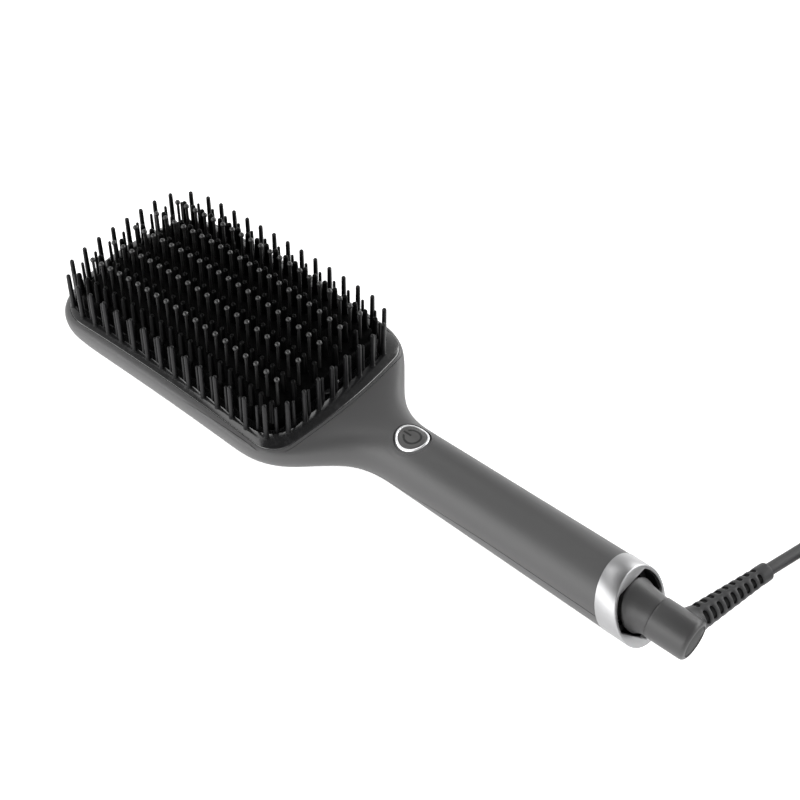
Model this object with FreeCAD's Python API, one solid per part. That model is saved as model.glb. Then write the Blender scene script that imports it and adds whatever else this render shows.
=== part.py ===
"""Electric paddle straightening brush with a swivelling mains cord.

Millimetres, +Z up.  The brush lies on its back with the bristles up.  The origin is
at the middle of its underside; X runs along the brush from the head to the cord end.
A station is a distance along X from the middle of the bristle field, and a rise is a
height above the foot of the tall bristles there.
"""
import FreeCAD
import Part
import math
import os
from collections import namedtuple

V = FreeCAD.Vector
UP = V(0, 0, 1)
ALONG = V(1, 0, 0)
ACROSS = V(0, 1, 0)

# ---------------------------------------------------------------- whole brush
overall_length = 290.0
head_end_margin = 67.0
field_x = head_end_margin - overall_length / 2.0
bristle_base_z = 28.0
handle_axis_z = 13.9
wall = 2.0
seam_width = 0.3
seam_depth = 0.45
seam_gap = 0.2

# ---------------------------------------------------------------- head, seen from above
side_half_width = 42.0
side_taper = 0.5
far_corner_radius = 20.5
far_corner_station = -43.0
far_end_radius = 110.0
far_half_width = side_half_width - side_taper - far_corner_radius
far_end_turn = math.asin(far_half_width / (far_end_radius - far_corner_radius))
far_end_centre = far_corner_station + (far_end_radius - far_corner_radius) * math.cos(far_end_turn)
far_end_station = far_end_centre - far_end_radius
shoulder_station = 46.0
shoulder_radius = 24.0
neck_radius = 24.0
neck_slope = math.radians(50.0)
neck_end_station = 96.0

# ---------------------------------------------------------------- head, seen from the side
widest_rise = -6.0
rim_height = 5.2
rim_power = 3.2
back_power = 2.2
rim_end_length = 10.0
back_end_length = 36.0
back_land_depth = 0.25
crown_long_radius = 622.0
crown_across_radius = 296.0

# ---------------------------------------------------------------- handle
handle_radius_at_neck = 12.48
handle_taper = 0.01337
shell_end_station = 190.8
shell_end_slope = 0.377
back_seam_rise = -19.5
cover_screw_station = 42.0
cover_screw_y = 20.0
cover_post_radius = 3.6
cover_screw_clearance = 0.15
cover_screw_head_radius = 2.3
cover_screw_head_height = 1.6
cover_screw_seat_rise = -18.4
cover_screw_socket_radius = 0.9
cover_screw_socket_depth = 0.6
cover_screw_tip_gap = 0.6
cover_bore_clearance = 0.4
screw_cover_thickness = 1.6
screw_cover_clearance = 0.05
seam_rise_start = 68.0
seam_rise_end = 150.0

# ---------------------------------------------------------------- plan outlines of the face
Corner = namedtuple("Corner", "station half_width radius end_radius")
lip_far = Corner(-43.0, 21.0, 18.0, 107.5)
lip_near = Corner(51.5, 27.6, 11.5, 180.0)
rim_ring_far_growth = 4.5
rim_ring_near_growth = 1.0
tongue_growth = 0.7
recess_corner = Corner(45.7, 22.05, 13.0, 1500.0)
ledge_corner = Corner(44.5, 21.5, 12.0, 2000.0)
block_corner = Corner(48.0, 25.0, 6.0, 2000.0)
carrier_corner = Corner(47.0, 24.0, 12.0, 2000.0)
rim_ring_drop = 1.5
tray_thickness = 3.6
tray_recess = 2.0
ledge_rise = -9.8
ledge_end_station = 67.5
carrier_thickness = 2.0

# ---------------------------------------------------------------- outer bristles
tall_pitch = 7.513
tall_side_count = 13
tall_side_y = 36.0
tall_end_pitch = 7.71
tall_end_count = 6
tall_end_station = 59.57
tall_corners = ((53.12, 33.79), (58.39, 27.19))
tall_height = 16.86
tall_root_radius = 1.05
tall_tip_radius = 0.9
tall_root_depth = 1.5
thin_inset = 1.5
thin_height = 12.7
thin_root_radius = 0.76
thin_tip_radius = 0.62
thin_root_depth = 0.8

# ---------------------------------------------------------------- heated face
heat_long_radius = 325.0
heat_across_radius = 163.0
block_top_rise = 7.8
block_wall = 2.2
pin_pitch = 5.24
row_pitch = 11.67
heated_columns = 21
heated_rows = 6
heated_top_rise = 17.5
heated_root_radius = 1.4
heated_tip_radius = 1.05
ball_columns = 20
ball_rows = 5
ball_centre_rise = 20.8
ball_radius = 1.1
ball_pin_radius = 0.6
ball_hole_radius = 0.8
comb_thickness = 1.6
comb_clearance = 0.3
comb_slot_margin = 3.0
rib_end_margin = 4.0
rib_width = 3.4
rib_clearance = 0.3
heater_thickness = 2.4
heater_width = 16.0
heater_length = 90.0
heater_clearance = 0.3
clamp_thickness = 0.8
clamp_margin = 1.0
clamp_window_half = 5.0
clamp_window_pitch = 18.0
pad_inset = 1.0
groove_radius = 0.9
groove_set_out = 0.45
groove_end_count = 3
tray_fit = 0.15
thermal_fuse_radius = 1.6
thermal_fuse_length = 9.0
thermistor_radius = 1.5
thermistor_station = 18.0
thermistor_lead_radius = 0.6
thermistor_lead_length = 9.0
lead_hole_station = 52.0
lead_hole_radius = 2.8
lead_diameter = 1.6
lead_spacing = 2.4

# ---------------------------------------------------------------- power button
button_station = 96.0
button_recess_radius = 7.25
button_recess_depth = 0.9
light_ring_radius = 6.75
light_ring_width = 1.2
light_ring_proud = 0.15
cap_clearance = 0.2
cap_recess = 0.08
button_travel = 0.8
cap_flange_radius = 6.3
cap_flange_thickness = 1.0
ring_foot_rise = -6.2
flange_gap = 0.12
well_floor_rise = -9.2
well_floor_thickness = 1.2
well_radius = 8.4
stem_radius = 1.6
stem_clearance = 0.4
stem_play = 0.1
symbol_radius = 3.3
symbol_line = 0.8
symbol_depth = 0.25
symbol_gap_width = 2.6
symbol_gap_reach = 8.0
symbol_gap_start = 1.0
symbol_bar_start = 0.9
symbol_bar_end = 0.6
return_pad_radius = 5.6
return_pad_top_radius = 3.4
return_pad_wall = 1.0
return_pad_top_wall = 0.8
return_pad_foot = 0.4

# ---------------------------------------------------------------- electronics in the handle
board_top_rise = -16.0
board_thickness = 1.6
board_width = 17.0
board_start = 90.0
board_end = 172.0
board_post_stations = (108.0, 165.0)
board_post_radius = 2.6
switch_body_height = 3.3
switch_height = 4.4
screw_radius = 1.1
board_screw_head_radius = 2.0
board_screw_head_height = 1.3
board_screw_tip_rise = -22.5
board_bore_depth = 6.4
switch_side = 6.0
switch_plunger_radius = 1.7
switch_plunger_seat = 0.3
led_offset = 5.2
fuse_start = 116.0
fuse_radius = 1.9
fuse_length = 14.0
fuse_y = -4.4
fuse_axis_height = 2.6
fuse_clip_inset = 2.0
triac_station = 146.0

# ---------------------------------------------------------------- end ring, boot and swivel
ring_radius = 13.9
ring_bore = 12.9
spigot_wall = 1.8
ring_front_station = 200.5
ring_front_slope = 0.507
ring_web = 1.2
opening_half_height = 10.0
sleeve_wall = 0.7
bulkhead_station = 193.0
bulkhead_thickness = 1.4
boot_radius = 9.5
boot_edge_station = 199.7
boot_edge_slope = 0.43
boot_lip = 0.25
boot_waist_radius = 7.7
boot_mid_station = 203.0
boot_mid_radius = 8.35
boot_mid_slope = 0.16
boot_lip_setback = 0.8
boot_end_station = 207.0
boot_flange_radius = 10.9
boot_flange_length = 4.0
swivel_gap = 0.3
barrel_radius = 8.0
barrel_edge = 1.6
barrel_start_edge = 0.3
barrel_end_station = 223.0
end_disc_radius = 6.2
end_disc_thickness = 1.2
end_disc_recess = 0.25
spindle_radius = 3.5
spindle_clearance = 0.05
spindle_start = 182.0
spindle_end = 214.0
spindle_flange_radius = 5.0
bush_radius = 5.2
bush_start = 192.0
bush_room = 0.6
spindle_flange_gap = 0.2
spindle_flange_length = 1.8
slip_ring_stations = (184.2, 187.4)
slip_ring_half = 1.1
slip_ring_thickness = 0.9
slip_blade_half = 0.6
slip_blade_half_width = 3.0
slip_blade_thickness = 1.5
slip_leg_thickness = 0.6
slip_leg_half_width = 1.5
slip_contact_gap = 0.3
slip_leg_start = 172.6

# ---------------------------------------------------------------- strain relief and cord
relief_turn = math.radians(13.0)
relief_axis_station = 215.95
relief_root_depth = 6.2
relief_length = 46.7
relief_root_radius = 5.25
relief_tip_radius = 3.6
relief_collar = 5.0
relief_flare = 0.4
relief_flare_length = 3.0
relief_tip_edge = 0.7
relief_slots = 9
relief_slot_pitch = 3.5
relief_slot_width = 1.8
relief_slot_span = 4.4
relief_first_slot = 12.2
relief_core_radius = 2.9
cord_diameter = 4.7
coil_centre = V(188.0, 88.0, 0.0)
coil_turn_radius = 26.0
coil_band = 19.0
coil_round = 6.0
tie_width = 12.0
tie_thickness = 0.9
coil_tie_land = 3.0

# ---------------------------------------------------------------- plug
plug_axis_x = 226.0
plug_relief_start_y = 55.0
plug_relief_length = 22.0
plug_body_length = 36.0
plug_width = 35.3
plug_thickness = 13.7
plug_tail_width = 14.0
plug_pin_radius = 2.0
plug_pin_length = 19.0
plug_pin_spacing = 18.6
plug_sleeve_length = 10.0
plug_sleeve_step = 0.25
plug_sleeve_wall = 0.5
plug_pin_tip_round = 1.4
plug_pin_root_depth = 1.0
plug_tail_thickness = 11.0
plug_shoulder_width = 28.24
plug_shoulder_length = 12.6
plug_grip_length = 21.6
plug_relief_ribs = 5
plug_relief_rib_depth = 0.7
plug_relief_tip_wall = 0.9
plug_relief_growth = 1.4
plug_relief_end_land = 1.0

# The free cord from the strain relief to the coil, and from the coil to the plug.
cord_exit = V(
    field_x + relief_axis_station + relief_length * math.sin(relief_turn),
    relief_length * math.cos(relief_turn),
    handle_axis_z,
)
cord_route = [cord_exit, V(153.7, 68.5, 11.4), V(154.9, 79.0, 8.8), V(154.9, 88.0, 7.1)]
tail_end = V(plug_axis_x, plug_relief_start_y, plug_thickness / 2.0)
tail_route = [V(215.8, 91.5, 5.0), V(223.4, 74.0, 5.7), tail_end]


# ================================================================ helpers
def at(station):
    """X of a station."""
    return field_x + station


def level(rise):
    """Z of a rise."""
    return bristle_base_z + rise


def ease(value, start, end):
    """Smooth step from 0 at start to 1 at end."""
    t = min(max((value - start) / (end - start), 0.0), 1.0)
    return t * t * (3.0 - 2.0 * t)


def save(name, shape):
    """Write one piece as its own STEP file."""
    shape = shape.removeSplitter() if shape.ShapeType == "Solid" else shape
    shape.exportStep("parts/%s.step" % name)
    print("%-20s %2d solid  valid %s  %10.1f mm3" % (name, len(shape.Solids), shape.isValid(), shape.Volume))


def box(low, high):
    """Box between two corners."""
    size = high - low
    return Part.makeBox(size.x, size.y, size.z, low)


def post(x, y, z_low, z_high, radius):
    """Upright cylinder."""
    return Part.makeCylinder(radius, z_high - z_low, V(x, y, z_low), UP)


def rod(start_station, end_station, radius):
    """Cylinder on the handle's axis between two stations."""
    return Part.makeCylinder(radius, end_station - start_station, V(at(start_station), 0, handle_axis_z), ALONG)


def closed_face(points):
    """Flat face inside a polygon."""
    return Part.Face(Part.makePolygon(points + [points[0]]))


def turned(points, centre, axis):
    """Solid turned from a profile whose points are (distance along the axis, radius)."""
    side = ACROSS.cross(axis) if abs(axis.dot(ACROSS)) < 0.5 else UP.cross(axis)
    if side.Length < 0.5:
        side = ALONG
    side.normalize()
    face = closed_face([centre + axis * along + side * radius for along, radius in points])
    return face.revolve(centre, axis, 360)


def bristle(x, y, z_foot, z_top, root_radius, tip_radius):
    """Upright tapered bristle with a rounded tip, as one solid of revolution."""
    z_round = z_top - tip_radius
    slant = math.sqrt(0.5) * tip_radius
    foot = V(x, y, z_foot)
    foot_edge = V(x + root_radius, y, z_foot)
    shoulder = V(x + tip_radius, y, z_round)
    middle = V(x + slant, y, z_round + slant)
    top = V(x, y, z_top)
    edges = [
        Part.LineSegment(foot, foot_edge).toShape(),
        Part.LineSegment(foot_edge, shoulder).toShape(),
        Part.Arc(shoulder, middle, top).toShape(),
        Part.LineSegment(top, foot).toShape(),
    ]
    return Part.Face(Part.Wire(edges)).revolve(foot, UP, 360)


def ball_pin(x, y, z_foot, z_ball):
    """Thin upright pin with a ball on its top, as one solid of revolution."""
    neck = math.sqrt(ball_radius ** 2 - ball_pin_radius ** 2)
    foot = V(x, y, z_foot)
    foot_edge = V(x + ball_pin_radius, y, z_foot)
    join = V(x + ball_pin_radius, y, z_ball - neck)
    equator = V(x + ball_radius, y, z_ball)
    top = V(x, y, z_ball + ball_radius)
    edges = [
        Part.LineSegment(foot, foot_edge).toShape(),
        Part.LineSegment(foot_edge, join).toShape(),
        Part.Arc(join, equator, top).toShape(),
        Part.LineSegment(top, foot).toShape(),
    ]
    return Part.Face(Part.Wire(edges)).revolve(foot, UP, 360)


def grown(corner, growth):
    """The same corner with its outline moved outward."""
    return corner._replace(radius=corner.radius + growth, end_radius=corner.end_radius + growth)


def mirrored(corner):
    """The same corner at the other end of the field."""
    return corner._replace(station=-corner.station)


def end_points(corner, side):
    """Side end, corner middle, corner end and tip of one outline's end; side is -1 or 1."""
    turn = math.asin(corner.half_width / (corner.end_radius - corner.radius))
    half = (math.pi / 2.0 + turn) / 2.0
    centre = corner.station - side * (corner.end_radius - corner.radius) * math.cos(turn)
    result = []
    for angle in (math.pi / 2.0, half, turn):
        x = corner.station + side * corner.radius * math.cos(angle)
        result.append((x, corner.half_width + corner.radius * math.sin(angle)))
    result.append((centre + side * corner.end_radius, 0.0))
    return result


def outline_prism(far, near, low_rise, high_rise):
    """Prism over a plan outline with bowed ends and round corners."""
    def point(pair, sign=1.0):
        return V(at(pair[0]), sign * pair[1], level(low_rise))

    f_side, f_mid, f_turn, f_tip = end_points(far, -1.0)
    n_side, n_mid, n_turn, n_tip = end_points(near, 1.0)
    edges = [
        Part.LineSegment(point(f_side), point(n_side)).toShape(),
        Part.Arc(point(n_side), point(n_mid), point(n_turn)).toShape(),
        Part.Arc(point(n_turn), point(n_tip), point(n_turn, -1.0)).toShape(),
        Part.Arc(point(n_turn, -1.0), point(n_mid, -1.0), point(n_side, -1.0)).toShape(),
        Part.LineSegment(point(n_side, -1.0), point(f_side, -1.0)).toShape(),
        Part.Arc(point(f_side, -1.0), point(f_mid, -1.0), point(f_turn, -1.0)).toShape(),
        Part.Arc(point(f_turn, -1.0), point(f_tip), point(f_turn)).toShape(),
        Part.Arc(point(f_turn), point(f_mid), point(f_side)).toShape(),
    ]
    return Part.Face(Part.Wire(edges)).extrude(V(0, 0, high_rise - low_rise))


def even_prism(corner, growth, low_rise, high_rise):
    """Prism over an outline that is the same at both ends."""
    near = grown(corner, growth)
    return outline_prism(mirrored(near), near, low_rise, high_rise)


def domed_slab(low_rise, high_rise, long_radius, across_radius):
    """Slab between two domed levels that bow the same way along and across."""
    half = 60.0
    reach = math.degrees(math.asin(95.0 / long_radius))
    axis_point = V(field_x, 0, level(0.0) - long_radius)

    def arc(rise):
        drop = across_radius - math.sqrt(across_radius ** 2 - half ** 2)
        left = V(field_x, -half, level(rise) - drop)
        right = V(field_x, half, level(rise) - drop)
        return left, right, Part.Arc(left, V(field_x, 0, level(rise)), right).toShape()

    low_left, low_right, low_arc = arc(low_rise)
    high_left, high_right, high_arc = arc(high_rise)
    sides = [
        Part.LineSegment(low_left, high_left).toShape(),
        Part.LineSegment(low_right, high_right).toShape(),
    ]
    face = Part.Face(Part.Wire([low_arc, sides[1], high_arc, sides[0]]))
    face.rotate(axis_point, ACROSS, -reach)
    return face.revolve(axis_point, ACROSS, 2.0 * reach)


def crown_slab(low_rise, high_rise):
    """Slab between two levels of the head's shallow crown."""
    return domed_slab(low_rise, high_rise, crown_long_radius, crown_across_radius)


def heat_slab(low_rise, high_rise):
    """Slab between two levels of the heated face's dome."""
    return domed_slab(low_rise, high_rise, heat_long_radius, heat_across_radius)


def crown_rise(station, y):
    """Rise of the head's crown at a place."""
    return -station ** 2 / (2.0 * crown_long_radius) - y ** 2 / (2.0 * crown_across_radius)


def heat_rise(station, y):
    """Fall of the heated face's dome at a place."""
    return -station ** 2 / (2.0 * heat_long_radius) - y ** 2 / (2.0 * heat_across_radius)


def behind(station, slope):
    """Everything on the head's side of a plane that leans along the handle."""
    reach = 60.0
    points = [
        V(at(station) - slope * reach, -reach, handle_axis_z + reach),
        V(at(station) + slope * reach, -reach, handle_axis_z - reach),
        V(-400.0, -reach, handle_axis_z - reach),
        V(-400.0, -reach, handle_axis_z + reach),
    ]
    return closed_face(points).extrude(V(0, 2.0 * reach, 0))


# ================================================================ hull of head, neck and handle
def handle_radius(station):
    """Outer radius of the round handle."""
    return handle_radius_at_neck + handle_taper * (station - neck_end_station)


def plan_half_width(station, inset):
    """Half width of the hull seen from above, `inset` inside its face."""
    turn_station = far_corner_station - (far_corner_radius - inset) * math.cos(far_end_turn)
    if station < turn_station:
        return math.sqrt(max((far_end_radius - inset) ** 2 - (station - far_end_centre) ** 2, 0.0))
    if station < far_corner_station:
        along = station - far_corner_station
        return far_half_width + math.sqrt((far_corner_radius - inset) ** 2 - along ** 2)
    if station < shoulder_station:
        part = (shoulder_station - station) / (shoulder_station - far_corner_station)
        return side_half_width - inset - side_taper * part
    shoulder_y = side_half_width - shoulder_radius
    slope_start = shoulder_station + (shoulder_radius - inset) * math.sin(neck_slope)
    slope_start_y = shoulder_y + (shoulder_radius - inset) * math.cos(neck_slope)
    if station < slope_start:
        return shoulder_y + math.sqrt((shoulder_radius - inset) ** 2 - (station - shoulder_station) ** 2)
    neck_y = handle_radius_at_neck + neck_radius
    run = shoulder_y + shoulder_radius * math.cos(neck_slope) - neck_y + neck_radius * math.cos(neck_slope)
    neck_station = (
        shoulder_station
        + (shoulder_radius + neck_radius) * math.sin(neck_slope)
        + run / math.tan(neck_slope)
    )
    if station < neck_station - (neck_radius + inset) * math.sin(neck_slope):
        return slope_start_y - (station - slope_start) * math.tan(neck_slope)
    if station < neck_station:
        return neck_y - math.sqrt((neck_radius + inset) ** 2 - (station - neck_station) ** 2)
    return handle_radius(station) - inset


def hull_shape(station, inset):
    """Half width, middle level, height above and below it, and the two corner powers."""
    head_limit = shoulder_station + 4.0
    middle = level(widest_rise) - min(station, head_limit) ** 2 / (2.0 * crown_long_radius)
    radius = handle_radius(max(station, neck_end_station))
    middle += (handle_axis_z - middle) * ease(station, head_limit, neck_end_station)
    above = rim_height + (radius - rim_height) * ease(station, head_limit + 12.0, neck_end_station)
    below = middle + back_land_depth
    below += (radius - below) * ease(station, shoulder_station - 11.0, neck_end_station)
    above -= inset
    below -= inset
    rim_start = far_end_station + rim_end_length
    if station < rim_start:
        part = (rim_start - station) / (rim_end_length - inset)
        above *= max(1.0 - part ** rim_power, 0.0) ** (1.0 / rim_power)
    back_start = far_end_station + back_end_length
    if station < back_start:
        part = (back_start - station) / (back_end_length - inset)
        below *= math.sqrt(max(1.0 - part * part, 0.0))
    change = ease(station, head_limit + 10.0, neck_end_station)
    top_power = rim_power + (2.0 - rim_power) * change
    low_power = back_power + (2.0 - back_power) * change
    return plan_half_width(station, inset), middle, above, below, top_power, low_power


def handle_at_button(proud):
    """Round bar as wide as the handle at the button, or wider by `proud`."""
    return rod(button_station - 36.0, button_station + 44.0, handle_radius(button_station) + proud)


def hull_ring(station, inset, count):
    """Ring of points round the hull at a station, from its +Y side."""
    half_width, middle, above, below, top_power, low_power = hull_shape(station, inset)
    ring = []
    for i in range(count):
        angle = 2.0 * math.pi * i / count
        c = math.cos(angle)
        s = math.sin(angle)
        power = top_power if s >= 0.0 else low_power
        height = above if s >= 0.0 else below
        y = half_width * math.copysign(abs(c) ** (2.0 / power), c)
        z = middle + height * math.copysign(abs(s) ** (2.0 / power), s)
        ring.append(V(at(station), y, z))
    return ring


def hull_stations(inset):
    """Stations of the rings, close together where the hull turns."""
    tip = far_end_station + inset
    from_tip = (0.01, 0.12, 0.5, 1.2, 2.2, 3.6, 5.4, 7.6, 10.4, 14.0, 19.0, 26.0)
    head = (-30.0, -18.0, -5.0, 7.0, 19.0, 30.0, 39.0, 46.0, 51.5, 56.5, 60.5, 64.4)
    neck = (68.0, 71.5, 75.0, 79.0, 83.0, 87.5, 92.0, 96.0)
    handle = (102.0, 112.0, 130.0, 150.0, 170.0, 185.0, 198.0)
    return [tip + step for step in from_tip] + list(head + neck + handle)


def hull(inset):
    """Smooth solid of head, neck and handle, `inset` inside the outer face."""
    count = 56
    degree = 3
    stations = hull_stations(inset)
    poles = [hull_ring(station, inset, count) for station in stations]
    spans = len(stations) - degree
    surface = Part.BSplineSurface()
    surface.buildFromPolesMultsKnots(
        poles,
        [degree + 1] + [1] * (spans - 1) + [degree + 1],
        [1] * (count + 1),
        list(range(spans + 1)),
        list(range(count + 1)),
        False,
        True,
        degree,
        degree,
    )
    faces = [surface.toShape()]
    for end in (0, spans):
        faces.append(Part.Face(Part.Wire([surface.uIso(end).toShape()])))
    shell = Part.makeShell(faces)
    shell.sewShape()
    solid = Part.makeSolid(shell)
    if solid.Volume < 0.0:
        solid.reverse()
    return solid


def below_back_seam(shift):
    """Everything below the seam between the upper shell and the back cover."""
    low = level(back_seam_rise) + shift
    high = handle_axis_z + shift
    middle_station = (seam_rise_start + seam_rise_end) / 2.0
    half_run = (seam_rise_end - seam_rise_start) / 2.0
    half_rise = (high - low) / 2.0
    radius = (half_run ** 2 + half_rise ** 2) / (2.0 * half_rise)
    quarter = half_run / 2.0
    bow = radius - math.sqrt(radius ** 2 - quarter ** 2)
    far = V(-300.0, -80.0, low)
    start = V(at(seam_rise_start), -80.0, low)
    rising = V(at(seam_rise_start) + quarter, -80.0, low + bow)
    middle = V(at(middle_station), -80.0, (low + high) / 2.0)
    levelling = V(at(seam_rise_end) - quarter, -80.0, high - bow)
    end = V(at(seam_rise_end), -80.0, high)
    near = V(300.0, -80.0, high)
    edges = [
        Part.LineSegment(far, start).toShape(),
        Part.Arc(start, rising, middle).toShape(),
        Part.Arc(middle, levelling, end).toShape(),
        Part.LineSegment(end, near).toShape(),
        Part.LineSegment(near, V(300.0, -80.0, -60.0)).toShape(),
        Part.LineSegment(V(300.0, -80.0, -60.0), V(-300.0, -80.0, -60.0)).toShape(),
        Part.LineSegment(V(-300.0, -80.0, -60.0), far).toShape(),
    ]
    return Part.Face(Part.Wire(edges)).extrude(V(0, 160.0, 0))


# ================================================================ housing
lip_prism = outline_prism(lip_far, lip_near, -30.0, 30.0)
ring_far = grown(lip_far, rim_ring_far_growth)
ring_prism = outline_prism(ring_far, grown(lip_near, rim_ring_near_growth), -30.0, 30.0)
tongue_prism = outline_prism(grown(lip_far, tongue_growth), grown(lip_near, tongue_growth), -30.0, 30.0)
outer_hull = hull(0.0).common(box(V(-300, -80, 0), V(300, 80, 90)))
inner_hull = hull(wall)


def hollow_housing():
    """Both halves of the housing as one thin shell with a solid ledge round the face."""
    ledge = box(V(-300, -80, level(ledge_rise)), V(at(ledge_end_station), 80, 90))
    shell = outer_hull.cut(inner_hull.cut(ledge)).common(behind(shell_end_station, shell_end_slope))
    spigot = rod(180.0, 210.0, ring_bore).cut(rod(170.0, 212.0, ring_bore - spigot_wall))
    spigot = spigot.common(behind(bulkhead_station, shell_end_slope))
    spigot = spigot.cut(behind(shell_end_station - 6.0, shell_end_slope))
    shell = shell.fuse(spigot)
    groove = outer_hull.cut(hull(seam_depth)).common(below_back_seam(seam_width / 2.0))
    return shell.cut(groove.cut(below_back_seam(-seam_width / 2.0)))


def front_frame():
    """Rim ring round the bristle tray, with a tongue down into the housing."""
    band = outer_hull.common(ring_prism).common(crown_slab(-rim_ring_drop, 25.0))
    tongue = tongue_prism.common(crown_slab(-tray_thickness, -rim_ring_drop + 0.2))
    return band.fuse(tongue).cut(lip_prism)


def main_shell(housing):
    """Upper shell: rim, ledge, neck, handle top and the button's well."""
    shell = housing.cut(below_back_seam(0.0))
    gap_ring = outline_prism(ring_far, grown(lip_near, rim_ring_near_growth + seam_gap), -30.0, 30.0)
    shell = shell.cut(gap_ring.common(crown_slab(-rim_ring_drop, 25.0)))
    shell = shell.cut(tongue_prism.common(crown_slab(-tray_thickness, 25.0)))
    shell = shell.cut(even_prism(ledge_corner, 0.0, -30.0, 30.0))
    x = at(button_station)
    well = post(x, 0, level(well_floor_rise - well_floor_thickness), level(0.0), well_radius)
    shell = shell.fuse(well.common(outer_hull))
    recess = post(x, 0, level(-12.0), level(6.0), button_recess_radius)
    shell = shell.cut(recess.cut(handle_at_button(-button_recess_depth)))
    shell = shell.cut(post(x, 0, level(well_floor_rise), level(6.0), light_ring_radius))
    return shell.cut(post(x, 0, level(-14.0), level(0.0), stem_radius + stem_clearance))


cover_screw_places = [(sx * cover_screw_station, sy * cover_screw_y) for sx in (-1, 1) for sy in (-1, 1)]


cover_bore_radius = cover_screw_head_radius + cover_bore_clearance
board_bore_rise = board_top_rise - board_thickness - board_bore_depth


def back_cover(housing):
    """Shallow lower shell with posts for the heater carrier and the control board."""
    cover = housing.common(below_back_seam(0.0))
    carrier_foot = level(ledge_rise - carrier_thickness)
    for station, y in cover_screw_places:
        cover = cover.fuse(post(at(station), y, 0.0, carrier_foot, cover_post_radius).common(outer_hull))
    for station in board_post_stations:
        pillar = post(at(station), 0, 0.0, level(board_top_rise - board_thickness), board_post_radius)
        cover = cover.fuse(pillar.common(outer_hull))
    for station, y in cover_screw_places:
        cover = cover.cut(post(at(station), y, -5.0, level(0.0), screw_radius + cover_screw_clearance))
        cover = cover.cut(post(at(station), y, -5.0, level(cover_screw_seat_rise), cover_bore_radius))
    for station in board_post_stations:
        cover = cover.cut(post(at(station), 0, level(board_bore_rise), level(0.0), screw_radius))
    return cover


def cover_screws():
    """Four screws that hold the back cover to the heater carrier."""
    screws = []
    for station, y in cover_screw_places:
        under = cover_screw_seat_rise - cover_screw_head_height
        head = post(at(station), y, level(under), level(cover_screw_seat_rise), cover_screw_head_radius)
        socket_end = level(under + cover_screw_socket_depth)
        head = head.cut(post(at(station), y, level(under - 0.1), socket_end, cover_screw_socket_radius))
        tip = level(ledge_rise - cover_screw_tip_gap)
        neck = post(at(station), y, level(cover_screw_seat_rise), tip, screw_radius)
        screws.append(head.fuse(neck))
    return Part.makeCompound(screws)


def screw_covers():
    """Flush plugs over the four screws."""
    skin = outer_hull.cut(hull(screw_cover_thickness))
    radius = cover_bore_radius - screw_cover_clearance
    plugs = [post(at(station), y, -5.0, 12.0, radius).common(skin) for station, y in cover_screw_places]
    return Part.makeCompound([plug.Solids[0] for plug in plugs])


# ================================================================ bristle tray and heated face
def tall_bristle_places():
    """Stations and offsets of the tall outer bristles, in order round the tray."""
    side = [((i - (tall_side_count - 1) / 2.0) * tall_pitch, tall_side_y) for i in range(tall_side_count)]
    end = [(tall_end_station, (j - (tall_end_count - 1) / 2.0) * tall_end_pitch) for j in range(tall_end_count)]
    corner = list(tall_corners)
    near_left = side + corner
    near_end = [(x, y) for x, y in reversed(end)]
    right = [(x, -y) for x, y in reversed(near_left)]
    first_half = near_left + near_end + right
    far_corner = [(-x, -y) for x, y in corner]
    far_end = [(-x, y) for x, y in end]
    last_corner = [(-x, y) for x, y in reversed(corner)]
    return first_half + far_corner + far_end + last_corner


def thin_bristle_places(tall):
    """Midway between neighbouring tall bristles, a little inward."""
    places = []
    for (x0, y0), (x1, y1) in zip(tall, tall[1:] + tall[:1]):
        run = math.hypot(x1 - x0, y1 - y0)
        middle = V((x0 + x1) / 2.0, (y0 + y1) / 2.0, 0)
        inward = V((y1 - y0) / run, -(x1 - x0) / run, 0) * thin_inset
        places.append((middle.x + inward.x, middle.y + inward.y))
    return places


def bristle_tray():
    """Tray with a flange, a lower floor, the tall and the thin outer bristles."""
    tray = lip_prism.common(crown_slab(-tray_thickness, 0.0))
    tray = tray.cut(even_prism(recess_corner, 0.0, -30.0, 30.0).common(crown_slab(-tray_recess, 25.0)))
    tray = tray.cut(even_prism(block_corner, tray_fit, -30.0, 30.0))
    tall = tall_bristle_places()
    pieces = []
    for station, y in tall:
        foot = level(crown_rise(station, y) - tall_root_depth)
        top = level(crown_rise(station, y) + tall_height)
        pieces.append(bristle(at(station), y, foot, top, tall_root_radius, tall_tip_radius))
    for station, y in thin_bristle_places(tall):
        foot = level(crown_rise(station, y) - tray_recess - thin_root_depth)
        top = level(crown_rise(station, y) + thin_height)
        pieces.append(bristle(at(station), y, foot, top, thin_root_radius, thin_tip_radius))
    return tray.multiFuse(pieces)


def heated_places():
    """Stations and offsets of the heated pins."""
    for i in range(heated_columns):
        for j in range(heated_rows):
            yield (i - (heated_columns - 1) / 2.0) * pin_pitch, (j - (heated_rows - 1) / 2.0) * row_pitch


def ball_places():
    """Stations and offsets of the ball-tipped pins, midway between the heated ones."""
    for i in range(ball_columns):
        for j in range(ball_rows):
            yield (i - (ball_columns - 1) / 2.0) * pin_pitch, (j - (ball_rows - 1) / 2.0) * row_pitch


rib_offsets = (-1.5 * row_pitch, 1.5 * row_pitch)
comb_foot_rise = block_top_rise - block_wall - comb_thickness
heater_fall = heat_rise(heater_length / 2.0, rib_offsets[1] + heater_width / 2.0)
rib_foot_rise = comb_foot_rise + heater_fall - heater_clearance
pad_top_rise = rib_foot_rise - heater_thickness - clamp_thickness


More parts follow.
